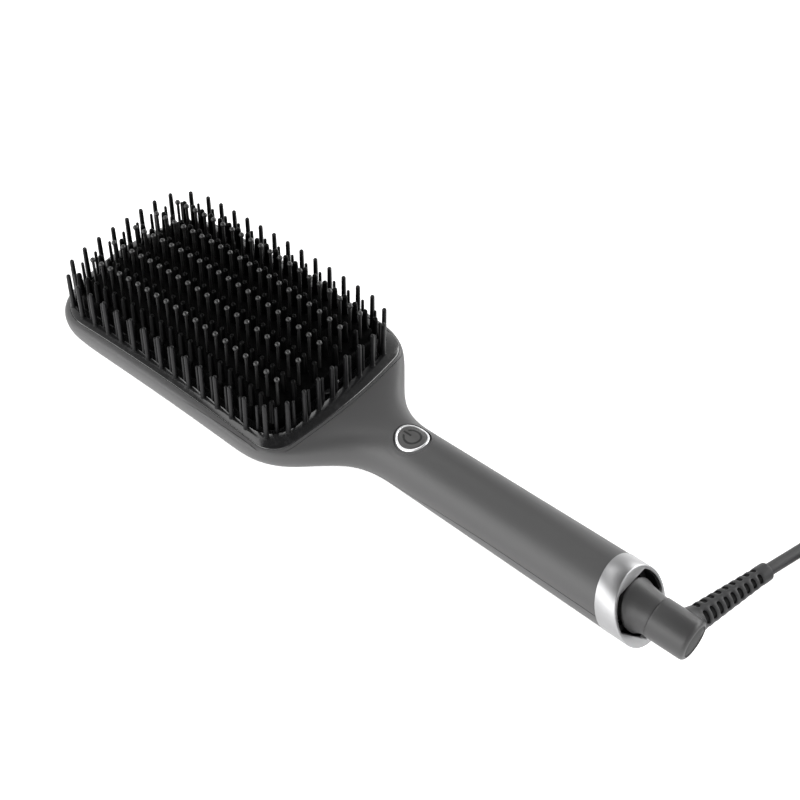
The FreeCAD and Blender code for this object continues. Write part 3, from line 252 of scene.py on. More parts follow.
@dataclass(frozen=True)
class MouldedMatt(Finish):
    """Moulded plastic with a fine spark-eroded texture and a soft sheen."""

    roughness: float = 0.5
    grain: float = 2600.0
    specular: float = 0.5
    grain_depth: float = 0.000012
    grain_strength: float = 0.55
    variation: float = 0.12
    cloud_scale: float = 18.0
    cloud_share: float = 0.08
    rub_scale: float = 46.0
    rub_share: float = 0.05
    rub_stops: Pairs = ((0.56, 0.0), (0.74, 1.0))

    def make(self) -> bpy.types.Material:
        """Cloudy tone, fine grain in the normal and a few rubbed places.

        Returns:
            The material.
        """
        net = Net(self.name)
        cloud = net.noise(self.cloud_scale, 4.0)
        grain = net.noise(self.grain, 2.0, 0.65)
        rubbed = net.ramp(net.noise(self.rub_scale, 5.0, 0.6), self.rub_stops)
        tone = net.mix(cloud, self.toned(1.0 - self.variation), self.toned(1.0 + self.variation))
        rough = self.roughness + (cloud - 0.5) * self.cloud_share - rubbed * self.rub_share
        return net.set(
            Base_Color=tone, Roughness=rough, Specular_IOR_Level=self.specular,
            Normal=net.bump(grain, self.grain_depth, self.grain_strength),
        )


@dataclass(frozen=True)
class GlossBlack(Finish):
    """Glossy moulded nylon or glazed coating with faint flow marks."""

    roughness: float = 0.16
    specular: float = 0.35
    flake: float = 0.0
    flake_scale: float = 5200.0
    flake_stops: Pairs = ((0.66, 0.0), (0.72, 1.0))
    flake_colour: Triple = (0.12, 0.12, 0.125)
    dust_scale: float = 420.0
    dust_stops: Pairs = ((0.5, 0.0), (0.8, 1.0))
    dust_share: float = 0.12
    dust_tone: tuple[float, float] = (2.2, 0.002)
    wave_scale: float = 160.0
    wave_depth: float = 0.00003

    def make(self) -> bpy.types.Material:
        """Deep colour, soft waves in the gloss and a little dust in the roughness.

        Returns:
            The material.
        """
        net = Net(self.name)
        dust = net.ramp(net.noise(self.dust_scale, 4.0, 0.7), self.dust_stops)
        wave = net.noise(self.wave_scale, 2.0, 0.4)
        tone = net.mix(dust, self.colour, self.toned(*self.dust_tone))
        if self.flake > 0.0:
            spark = net.ramp(net.noise(self.flake_scale, 1.0, 0.9), self.flake_stops)
            tone = net.mix(spark * self.flake, tone, self.flake_colour)
        return net.set(
            Base_Color=tone, Roughness=self.roughness + dust * self.dust_share,
            Specular_IOR_Level=self.specular, Normal=net.bump(wave, self.wave_depth, 0.5),
        )


@dataclass(frozen=True)
class Plated(Finish):
    """Plated or plain metal, with fine marks that `lines` draws out and small tarnish clouds."""

    roughness: float = 0.08
    line_depth: float = 0.000002
    lines: Triple = (60.0, 1.0, 1.0)
    glow: float = 0.0
    tarnish: float = 0.1
    line_scale: float = 40.0
    line_share: float = 0.04
    cloud_scale: float = 55.0
    cloud_share: float = 0.05

    def make(self) -> bpy.types.Material:
        """Metal with fine lines in its gloss.

        Returns:
            The material.
        """
        net = Net(self.name)
        line = net.noise(self.line_scale, 3.0, 0.6, self.lines)
        cloud = net.noise(self.cloud_scale, 4.0, 0.6)
        return net.set(
            Base_Color=net.mix(cloud, self.colour, self.toned(1.0 - self.tarnish)), Metallic=1.0,
            Roughness=self.roughness + line * self.line_share + cloud * self.cloud_share,
            Emission_Color=self.colour, Emission_Strength=self.glow,
            Normal=net.bump(line, self.line_depth, 0.3),
        )


@dataclass(frozen=True)
class CordJacket(Finish):
    """Flexible rubber or vinyl: matt and slightly cloudy, with fine pores."""

    roughness: float = 0.55
    pore_depth: float = 0.00002
    pore_scale: float = 3200.0
    cloud_scale: float = 70.0
    cloud_share: float = 0.16
    cloud_tones: tuple[float, float] = (0.8, 1.25)

    def make(self) -> bpy.types.Material:
        """Slightly cloudy rubber with pores and a worn sheen.

        Returns:
            The material.
        """
        net = Net(self.name)
        cloud = net.noise(self.cloud_scale, 4.0, 0.6)
        pores = net.noise(self.pore_scale, 3.0, 0.6)
        dark, light = self.cloud_tones
        return net.set(
            Base_Color=net.mix(cloud, self.toned(dark), self.toned(light)),
            Roughness=self.roughness + (cloud - 0.5) * self.cloud_share,
            Normal=net.bump(pores, self.pore_depth, 0.5),
        )


@dataclass(frozen=True)
class Pressed(Finish):
    """Pressed felt, fired ceramic or board laminate: a flecked matt body."""

    roughness: float
    fleck_scale: float
    fleck_depth: float
    second: Triple
    fleck_share: float = 0.06
    fleck_stops: Pairs = ((0.42, 0.0), (0.62, 1.0))

    def make(self) -> bpy.types.Material:
        """Two tones in flecks with a matching relief.

        Returns:
            The material.
        """
        net = Net(self.name)
        fleck = net.noise(self.fleck_scale, 4.0, 0.7)
        mask = net.ramp(fleck, self.fleck_stops)
        return net.set(
            Base_Color=net.mix(mask, self.colour, self.second),
            Roughness=self.roughness + mask * self.fleck_share,
            Normal=net.bump(fleck, self.fleck_depth, 0.6),
        )


class Finishes:
    """Every finish of the brush, each built once."""

    def __init__(self) -> None:
        """Builds the materials."""
        self.housing = MouldedMatt("soft_grey_shell", (0.074, 0.0735, 0.074), 0.46).make()
        self.turret = MouldedMatt("swivel_grey", (0.052, 0.0515, 0.052), 0.42).make()
        self.disc = MouldedMatt("disc_grey", (0.016, 0.016, 0.016), 0.55, specular=0.25).make()
        self.button = MouldedMatt("button_grey", (0.075, 0.074, 0.073), 0.4, 3200.0).make()
        self.liner = MouldedMatt("black_liner", (0.012, 0.012, 0.012)).make()
        self.tray = GlossBlack("gloss_black_tray", (0.014, 0.014, 0.0145), 0.13, 1.0).make()
        self.nylon = GlossBlack("satin_black_nylon", (0.006, 0.006, 0.0065), 0.32, 0.3).make()
        self.ceramic = GlossBlack("black_ceramic_coat", (0.001, 0.001, 0.001), 0.5, 0.04, 0.08).make()
        self.pins = GlossBlack("black_pin_coat", (0.001, 0.001, 0.0011), 0.28, 0.1).make()
        self.balls = GlossBlack("black_ball_gloss", (0.012, 0.012, 0.012), 0.36, 0.7).make()
        self.mark = GlossBlack("printed_mark", (0.016, 0.016, 0.016), 0.4).make()
        self.chrome = Plated("bright_plating", (0.43, 0.43, 0.435), 0.36).make()
        self.bezel = Plated("lit_bezel", (0.9, 0.9, 0.91), 0.3, glow=0.1).make()
        self.steel = Plated("zinc_steel", (0.6, 0.6, 0.61), 0.28, 0.000006, (1.0, 1.0, 30.0)).make()
        self.brass = Plated("plain_brass", (0.78, 0.6, 0.28), 0.2).make()
        self.nickel = Plated("nickel_plating", (0.74, 0.72, 0.68), 0.14, 0.000004, (1.0, 40.0, 1.0)).make()
        self.jacket = CordJacket("cord_jacket", (0.042, 0.042, 0.043)).make()
        self.relief = CordJacket("relief_rubber", (0.034, 0.034, 0.035), 0.5).make()
        # Near-black finish of the tube under the relief's windows: painted shade for the shadowed hollow
        # round the cord.
        self.core = CordJacket("relief_shade_tube", (0.002, 0.002, 0.002), 0.8).make()
        self.silicone = CordJacket("silicone_dome", (0.3, 0.3, 0.3), 0.5).make()
        self.tie = CordJacket("tie_strap", (0.02, 0.02, 0.02), 0.8, 0.00012).make()
        laminate, felt, fired = (0.03, 0.18, 0.08), (0.74, 0.72, 0.66), (0.7, 0.68, 0.63)
        self.board = Pressed("board_laminate", (0.02, 0.13, 0.05), 0.35, 240.0, 0.00002, laminate).make()
        self.felt = Pressed("insulating_felt", (0.62, 0.6, 0.54), 0.95, 1400.0, 0.00012, felt).make()
        self.fired = Pressed("fired_ceramic", (0.8, 0.78, 0.74), 0.5, 600.0, 0.00002, fired).make()


# ------------------------------------------------------------------ making pieces
class Body(Enum):
    """The rigid bodies that the joints part."""

    HOUSING = "housing"
    BUTTON = "power_button"
    SWIVEL = "cord_swivel"


class Slot(Enum):
    """Names of the record's material slots."""

    HOUSING = "housing_grey"
    BRISTLES = "bristle_black"
    CERAMIC = "ceramic_black"
    CHROME = "bright_chrome"
    RUBBER = "cord_rubber"
    BUTTON = "button_grey"
    SILICONE = "pad_silicone"


def link(name: str, data: bpy.types.ID) -> bpy.types.Object:
    """Puts data in the scene.

    Args:
        name: The object's name.
        data: Its mesh, curve, camera or light.

    Returns:
        The new object, at the origin.
    """
    made = bpy.data.objects.new(name, data)
    bpy.context.scene.collection.objects.link(made)
    return made


def solid(name: str, bm: bmesh.types.BMesh, material: bpy.types.Material) -> bpy.types.Object:
    """Makes an object of a bmesh.

    Args:
        name: The object's name.
        bm: The bmesh, which is freed.
        material: Its finish.

    Returns:
        The new object.
    """
    mesh = bpy.data.meshes.new(name)
    bm.to_mesh(mesh)
    bm.free()
    mesh.materials.append(material)
    return link(name, mesh)


def modify(piece: bpy.types.Object, name: str, kind: str, **settings: object) -> None:
    """Adds a modifier to a piece.

    Args:
        piece: The piece.
        name: What the modifier makes.
        kind: Its type.
        settings: Its properties.
    """
    modifier = piece.modifiers.new(name, kind)
    for key, value in settings.items():
        setattr(modifier, key, value)


@dataclass
class Workshop:
    """Turns bmeshes into named pieces and keeps what they share."""

    finishes: Finishes
    made: dict[str, bpy.types.Object] = field(default_factory=dict)

    def dress(self, material: bpy.types.Material, *nodes: str) -> None:
        """Gives carried-over solids one material.

        Args:
            material: The finish.
            nodes: The solids' names.
        """
        for name in nodes:
            slots = frame["nodes"][name].data.materials
            slots.clear()
            slots.append(material)
            LOG.info("dressed %s in %s", name, material.name)

    def settle(self, piece: bpy.types.Object, body: Body, slot: Slot, replaces: Iterable[str] = ()) -> None:
        """Rides a piece on its body and hides the solids it stands for.

        Args:
            piece: The finished object.
            body: The body it moves with.
            slot: Not used.
            replaces: The solids it stands for.
        """
        for name in replaces:
            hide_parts(name)
        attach(piece, body.value)
        self.made[piece.name] = piece
        LOG.info("piece %s on %s", piece.name, body.value)

    def add(
        self,
        name: str,
        bm: bmesh.types.BMesh,
        material: bpy.types.Material,
        body: Body,
        slot: Slot,
        replaces: Iterable[str] = (),
        sharp: float = 35.0,
    ) -> bpy.types.Object:
        """Makes a piece of a bmesh, its place in its mesh, and settles it.

        Args:
            name: The piece's name.
            bm: The bmesh, which is freed.
            material: Its finish.
            body: The body it moves with.
            slot: The record's material slot, passed on to settle.
            replaces: The solids it stands for.
            sharp: Edges that turn by more than this many degrees stay sharp.

        Returns:
            The new object.
        """
        bmesh.ops.recalc_face_normals(bm, faces=bm.faces)
        piece = solid(name, bm, material)
        piece.data.shade_smooth()
        piece.data.set_sharp_from_angle(angle=math.radians(sharp))
        piece.data.validate()
        self.settle(piece, body, slot, replaces)
        return piece


@dataclass
class Assembly:
    """A sub-assembly of the brush and the workshop that makes it."""

    shop: Workshop

    @property
    def finishes(self) -> Finishes:
        """The workshop's finishes."""
        return self.shop.finishes

    def build(self) -> None:
        """Makes the pieces and dresses the solids."""
        raise NotImplementedError


# ------------------------------------------------------------------ shapes in station and rise
def spread(count: int, pitch: float) -> list[float]:
    """Places of a row of things, centred on 0."""
    return [(i - (count - 1) / 2.0) * pitch for i in range(count)]


@dataclass(frozen=True)
class Dome:
    """Shallow dome over the bristle field, by its radii along and across it in millimetres."""

    long_radius: float
    cross_radius: float

    def fall(self, station: float, y: float) -> float:
        """Rise of a place against the dome's middle, never above 0."""
        return -station ** 2 / (2.0 * self.long_radius) - y ** 2 / (2.0 * self.cross_radius)


HEAD_CROWN = Dome(622.0, 296.0)
HEATED_DOME = Dome(325.0, 163.0)


def to_place(bm: bmesh.types.BMesh) -> bmesh.types.BMesh:
    """Turns stations and rises in millimetres into the brush's metres.

    Args:
        bm: The bmesh to move.

    Returns:
        The same bmesh.
    """
    bmesh.ops.scale(bm, verts=bm.verts, vec=(MM, MM, MM))
    bmesh.ops.translate(bm, verts=bm.verts, vec=(FIELD_X, 0.0, BASE_Z))
    return bm


def soften(
    bm: bmesh.types.BMesh, edges: Iterable[bmesh.types.BMEdge], width: float, steps: int = 3
) -> None:
    """Rounds edges.

    Args:
        bm: The bmesh they are in.
        edges: The edges to round.
        width: How far the rounding reaches to each side.
        steps: Faces across it.
    """
    bmesh.ops.bevel(
        bm, geom=list(edges), offset=width, affect="EDGES", segments=steps, profile=0.5, material=-1,
        clamp_overlap=True,
    )


def round_corners(
    bm: bmesh.types.BMesh, verts: Sequence[bmesh.types.BMVert], width: float, steps: int
) -> None:
    """Rounds the corners of a wire outline.

    Args:
        bm: The bmesh they are in.
        verts: The corners.
        width: How far the rounding reaches to each side.
        steps: Edges across it.
    """
    bmesh.ops.bevel(
        bm, geom=verts, offset=width, affect="VERTICES", segments=steps, profile=0.5, material=-1
    )


def bridge(bm: bmesh.types.BMesh, loops: Sequence[Loop], closed: bool) -> None:
    """Bridges each loop of edges to the next.

    Args:
        bm: The bmesh they are in.
        loops: The loops in order.
        closed: Whether the last one joins the first.
    """
    following = loops[1:] + loops[:1] if closed else loops[1:]
    for one, other in zip(loops, following):
        bmesh.ops.bridge_loops(bm, edges=one + other)


def hoops(
    sections: Pairs, segments: int, turn: Matrix, closed: bool = False
) -> tuple[bmesh.types.BMesh, list[Loop]]:
    """Bridges a row of circles.

    Args:
        sections: Each circle's distance along the axis and its radius.
        segments: Points of each circle.
        turn: Rotation that takes +Z to the axis.
        closed: Whether the last circle joins the first.

    Returns:
        The form, and each circle's edges.
    """
    bm = bmesh.new()
    loops = []
    for along, radius in sections:
        verts = bmesh.ops.create_circle(bm, segments=segments, radius=radius)["verts"]
        bmesh.ops.rotate(bm, verts=verts, cent=ORIGIN, matrix=turn)
        bmesh.ops.translate(bm, verts=verts, vec=turn @ (UP * along))
        loops.append(list(dict.fromkeys(edge for vert in verts for edge in vert.link_edges)))
    bridge(bm, loops, closed)
    return bm, loops


def spun(
    profile: Sequence[Triple], centre: Vector, axis: Vector, outward: Vector, steps: int
) -> bmesh.types.BMesh:
    """Turns a closed profile round an axis.

    Args:
        profile: Corners as distance along the axis, radius and the rounding of that corner.
        centre: Zero point of the axis.
        axis: Its direction.
        outward: Direction in which the profile lies from the axis.
        steps: Faces round the form.

    Returns:
        The form, closed and without doubles.
    """
    bm = bmesh.new()
    verts = [bm.verts.new(centre + axis * along + outward * radius) for along, radius, _ in profile]
    for i, (_, radius, _) in enumerate(profile):
        if radius > 0.0 or profile[i - 1][1] > 0.0:
            bm.edges.new((verts[i - 1], verts[i]))
    for vert, (_, _, rounding) in zip(verts, profile):
        if rounding > 0.0:
            round_corners(bm, [vert], rounding, 4)
    bmesh.ops.spin(
        bm, geom=bm.verts[:] + bm.edges[:], cent=centre, axis=axis, angle=2.0 * math.pi, steps=steps,
        use_merge=True,
    )
    bmesh.ops.remove_doubles(bm, verts=bm.verts[:], dist=0.0005)
    return bm


@dataclass(frozen=True)
class Corner:
    """Round corner of a plan outline and the bow of the end beside it."""

    station: float
    half_width: float
    radius: float
    end_radius: float

    def grown(self, growth: float) -> "Corner":
        """The same corner with its outline moved outward."""
        return replace(self, radius=self.radius + growth, end_radius=self.end_radius + growth)

    def mirrored(self) -> "Corner":
        """The same corner at the field's other end."""
        return replace(self, station=-self.station)

    def turn(self) -> float:
        """Angle between the axis and the point where corner and end meet."""
        return math.asin(self.half_width / (self.end_radius - self.radius))


class Plan:
    """Plan outlines at several rises, joined into walls and floors."""

    def __init__(self, side_cuts: int = 20, corner_steps: int = 9, end_steps: int = 8) -> None:
        """Starts an empty bmesh.

        Args:
            side_cuts: Points along each long side.
            corner_steps: Steps round each corner.
            end_steps: Steps along half of each bowed end.
        """
        self.bm = bmesh.new()
        self.side_cuts = side_cuts
        self.corner_steps = corner_steps
        self.end_steps = end_steps

    def half_end(self, corner: Corner, side: float, rise: float) -> bmesh.types.BMVert:
        """Draws one corner and its half of the end on the +Y side.

        Args:
            corner: The corner, its station signed.
            side: 1 at the handle's end, -1 at the far end.
            rise: Level of the outline.

        Returns:
            The vertex where the long side starts.
        """
        turn = corner.turn()
        first = self.bm.verts.new((corner.station, corner.half_width + corner.radius, rise))
        arc = bmesh.ops.spin(
            self.bm, geom=[first], cent=(corner.station, corner.half_width, rise), axis=UP,
            angle=-side * (math.pi / 2.0 - turn), steps=self.corner_steps,
        )
        last = [item for item in arc["geom_last"] if isinstance(item, bmesh.types.BMVert)]
        centre = corner.station - side * (corner.end_radius - corner.radius) * math.cos(turn)
        bmesh.ops.spin(
            self.bm, geom=last, cent=(centre, 0.0, rise), axis=UP, angle=-side * turn, steps=self.end_steps
        )
        return first

    def outline(self, far: Corner, near: Corner, rise: float) -> Loop:
        """Draws a closed outline.

        Args:
            far: Its corner at the far end.
            near: Its corner at the handle's end.
            rise: Its level.

        Returns:
            Its edges.
        """
        before = set(self.bm.edges)
        ends = [self.half_end(far, -1.0, rise), self.half_end(near, 1.0, rise)]
        bmesh.ops.subdivide_edges(self.bm, edges=[self.bm.edges.new(ends)], cuts=self.side_cuts)
        half = [edge for edge in self.bm.edges if edge not in before]
        corners = list(dict.fromkeys(vert for edge in half for vert in edge.verts))
        bmesh.ops.mirror(self.bm, geom=corners + half, matrix=Matrix(), merge_dist=0.001, axis="Y")
        return [edge for edge in self.bm.edges if edge not in before]

    def even(self, corner: Corner, rise: float) -> Loop:
        """Draws an outline that is the same at both ends."""
        return self.outline(corner.mirrored(), corner, rise)

    def drop(self, dome: Dome, share: Callable[[float], float]) -> None:
        """Lowers every vertex by a dome's fall, times a share that depends on its rise."""
        for vert in self.bm.verts:
            vert.co.z += dome.fall(vert.co.x, vert.co.y) * share(vert.co.z)


@dataclass(frozen=True)
class Bristle:
    """Round bristle with a root that flares and a domed tip."""

    root_radius: float
    tip_radius: float
    height: float
    flare: float = 0.3
    sunk: float = 0.6
    sides: int = 12

    def draw(self) -> bmesh.types.BMesh:
        """Turns one bristle at the origin.

        Returns:
            The bristle.
        """
        tip = self.tip_radius
        dome = self.height - tip
        profile = [
            (-self.sunk, 0.0),
            (-self.sunk, self.root_radius + self.flare),
            (self.flare * 0.6, self.root_radius + self.flare * 0.35),
            (self.flare * 2.5, self.root_radius),
            (dome, tip),
        ]
        profile += [(dome + tip * math.sin(a), tip * math.cos(a)) for a in (math.pi / 6.0, math.pi / 3.0)]
        profile.append((self.height, 0.0))
        return spun([(rise, radius, 0.0) for rise, radius in profile], ORIGIN, UP, ALONG, self.sides)

    def field(self, places: Iterable[Triple]) -> bmesh.types.BMesh:
        """Plants many bristles.

        Args:
            places: Station, Y and rise of each.

        Returns:
            The bristles, in metres.
        """
        bm = self.draw()
        root = bm.verts[:]
        pattern = root + bm.edges[:] + bm.faces[:]
        for place in places:
            copy = bmesh.ops.duplicate(bm, geom=pattern)
            moved = [item for item in copy["geom"] if isinstance(item, bmesh.types.BMVert)]
            bmesh.ops.translate(bm, verts=moved, vec=place)
        bmesh.ops.delete(bm, geom=root, context="VERTS")
        return to_place(bm)


# ------------------------------------------------------------------ camera, floor and light
@dataclass(frozen=True)
class Lamp:
    """Soft rectangular lamp that looks at the brush, in metres and watts."""

    name: str
    place: Triple
    size: tuple[float, float]
    power: float

    def hang(self) -> None:
        """Puts the lamp in the scene."""
        data = bpy.data.lights.new(self.name, "AREA")
        data.shape = "RECTANGLE"
        data.size, data.size_y = self.size
        data.energy = self.power
        lamp = link(self.name, data)
        lamp.location = self.place
        lamp.rotation_euler = (-Vector(self.place)).to_track_quat("-Z", "Y").to_euler()


@dataclass
class Studio:
    """Camera, pale floor and soft lights; angles in degrees, lengths in metres."""

    place: Triple = (0.2648, -0.3102, 0.4738)
    azimuth: float = 39.220
    elevation: float = 47.181
    roll: float = 1.352
    lens: float = 72.31
    sensor: float = 36.0
    nearest: float = 0.01
    floor_size: float = 8.0
    floor_drop: float = 0.0001
    floor_colour: Triple = (0.9, 0.9, 0.9)
    floor_roughness: float = 0.7
    floor_specular: float = 0.1
    floor_glow: float = 0.85
    sky_stops: Pairs = ((0.0, 0.9), (0.4, 0.78), (0.75, 0.2), (1.0, 0.02))
    lamps: tuple[Lamp, ...] = (
        Lamp("overhead_left", (-0.9, 0.15, 1.3), (0.5, 0.4), 1.1),
        Lamp("front_low", (-0.5, -1.3, 0.5), (2.2, 1.0), 19.0),
        Lamp("back_right", (0.6, 1.2, 0.6), (1.6, 0.6), 16.0),
        Lamp("flange_mirror", (-0.55, -0.16, 1.35), (1.3, 0.36), 2.6),
        Lamp("tray_mirror", (-0.56, 0.5, 1.3), (0.5, 0.4), 1.1),
    )

    def camera(self) -> None:
        """Sets the camera on its place and angle."""
        az, el, roll = (math.radians(angle) for angle in (self.azimuth, self.elevation, self.roll))
        back = Vector((math.sin(az) * math.cos(el), -math.cos(az) * math.cos(el), math.sin(el)))
        level_right = UP.cross(back).normalized()
        level_up = back.cross(level_right)
        right = math.cos(roll) * level_right + math.sin(roll) * level_up
        up = math.cos(roll) * level_up - math.sin(roll) * level_right
        data = bpy.data.cameras.new("view")
        data.lens = self.lens
        data.sensor_width = self.sensor
        data.clip_start = self.nearest
        camera = link("view", data)
        turn = Matrix((right, up, back)).transposed().to_4x4()
        camera.matrix_world = Matrix.Translation(self.place) @ turn
        bpy.context.scene.camera = camera

    def floor(self) -> None:
        """Lays the pale floor."""
        bm = bmesh.new()
        bmesh.ops.create_grid(bm, x_segments=1, y_segments=1, size=self.floor_size / 2.0)
        bmesh.ops.translate(bm, verts=bm.verts, vec=(0.0, 0.0, -self.floor_drop))
        pale = Net("pale_floor").set(
            Base_Color=self.floor_colour, Roughness=self.floor_roughness,
            Specular_IOR_Level=self.floor_specular, Emission_Color=self.floor_colour,
            Emission_Strength=self.floor_glow,
        )
        solid("floor", bm, pale)

    def sky(self) -> None:
        """Lights the surroundings: bright walls that fade to a dim ceiling."""
        world = bpy.data.worlds.new("studio")
        world.use_nodes = True
        graph = Graph(world.node_tree)
        direction = graph.out(graph.node("ShaderNodeTexCoord"), "Object")
        parts = graph.node("ShaderNodeSeparateXYZ", None, {0: direction})
        shade = graph.ramp(graph.out(parts, "Z"), self.sky_stops)
        graph.feed(world.node_tree.nodes["Background"].inputs["Color"], shade)
        bpy.context.scene.world = world

    def build(self) -> None:
        """Camera, floor, world and lamps."""
        self.camera()
        self.floor()
        self.sky()
        bpy.context.scene.view_settings.view_transform = "Standard"
        for lamp in self.lamps:
            lamp.hang()


# ------------------------------------------------------------------ cord and plug
@dataclass
class StrainRelief(Assembly):
    """Tapered rubber sleeve with four rows of windows over a near-black tube of painted shade."""

    axis_station: float = 215.95
    turn: float = math.radians(13.0)
    root: Pairs = ((4.6, 6.3), (6.0, 5.9), (7.2, 5.5), (8.4, 5.25))
    root_radius: float = 5.2
    tip_radius: float = 3.65
    collar_start: float = 39.8
    mouth_start: float = 43.3
    mouth_end: float = 43.8
    mouth_fall: float = 0.3
    slots: int = 9
    first_slot: float = 9.5
    slot_pitch: float = 3.42
    slot_width: float = 1.75
    slot_angles: tuple[float, float] = (15.0, 75.0)
    segments: int = 16
    wall: float = 0.95
    shade_tube_play: float = 1.05
    shade_tube_taper: float = 0.1
    shade_tube_segments: int = 24

    def radius(self, along: float) -> float:
        """Outer radius of the tapered run.

        Args:
            along: Distance from the swivel's axis.

        Returns:
            The radius there.
        """
        start = self.root[-1][0]
        share = (along - start) / (self.collar_start - start)
        return self.root_radius + (self.tip_radius - self.root_radius) * min(share, 1.0)

    def in_window(self, place: Vector) -> bool:
        """Whether a place on the upright sleeve lies in a window.

        Args:
            place: The place.

        Returns:
            True in a window.
        """
        first, last = self.slot_angles
        slot = (place.z - self.first_slot) / self.slot_pitch
        in_slot = 0.0 < slot < self.slots and (slot % 1.0) * self.slot_pitch < self.slot_width
        return in_slot and first < math.degrees(math.atan2(place.y, place.x)) % 90.0 < last

    def lay(self, bm: bmesh.types.BMesh) -> bmesh.types.BMesh:
        """Turns an upright form to the side on which the cord leaves the barrel.

        Args:
            bm: The form, in millimetres.

        Returns:
            The same bmesh, in metres.
        """
        down = Matrix.Rotation(-math.pi / 2.0, 3, "X")
        side = Matrix.Rotation(-self.turn, 3, "Z")
        bmesh.ops.rotate(bm, verts=bm.verts, cent=ORIGIN, matrix=side @ down)
        bmesh.ops.translate(bm, verts=bm.verts, vec=(self.axis_station, 0.0, AXIS_RISE))
        return to_place(bm)

    def sleeve(self) -> None:
        """Outer sleeve, its windows rounded by subdivision."""
        sections = list(self.root)
        for i in range(self.slots):
            start = self.first_slot + i * self.slot_pitch
            sections += [(along, self.radius(along)) for along in (start, start + self.slot_width)]
        sections += [
            (self.collar_start, self.tip_radius),
            (self.mouth_start, self.tip_radius),
            (self.mouth_end, self.tip_radius - self.mouth_fall),
        ]
        bm, _ = hoops(sections, self.segments, Matrix.Rotation(math.pi / self.segments, 3, "Z"))
        windows = [face for face in bm.faces if self.in_window(face.calc_center_median())]
        bmesh.ops.delete(bm, geom=windows, context="FACES")
        sleeve = self.shop.add(
            "relief_sleeve", self.lay(bm), self.finishes.relief, Body.SWIVEL, Slot.RUBBER,
            ("strain_relief",), 180.0,
        )
        modify(sleeve, "wall", "SOLIDIFY", thickness=self.wall * MM, offset=-1.0)
        modify(sleeve, "rounding", "SUBSURF", levels=2, render_levels=2)

    def core(self) -> None:
        """Near-black tube just under the windows: painted shade for the shadowed hollow round the cord."""
        start, end = self.root_radius - self.shade_tube_play, self.tip_radius - self.shade_tube_play
        sections = [
            (self.root[0][0], start),
            (self.first_slot, start),
            (self.collar_start, end),
            (self.mouth_start, end - self.shade_tube_taper),
        ]
        bm, _ = hoops(sections, self.shade_tube_segments, Matrix.Identity(3))
        ends = [edge for edge in bm.edges if len(edge.link_faces) == 1]
        bmesh.ops.holes_fill(bm, edges=ends, sides=0)
        # Painted shade: this near-black tube sits just under the windows so that they read as the shadowed
        # hollow round the cord.
        self.shop.add("relief_shade_tube", self.lay(bm), self.finishes.core, Body.SWIVEL, Slot.RUBBER)

    def build(self) -> None:
        """Sleeve and the painted-shade tube under its windows, which turn with the swivel."""
        self.sleeve()
        self.core()


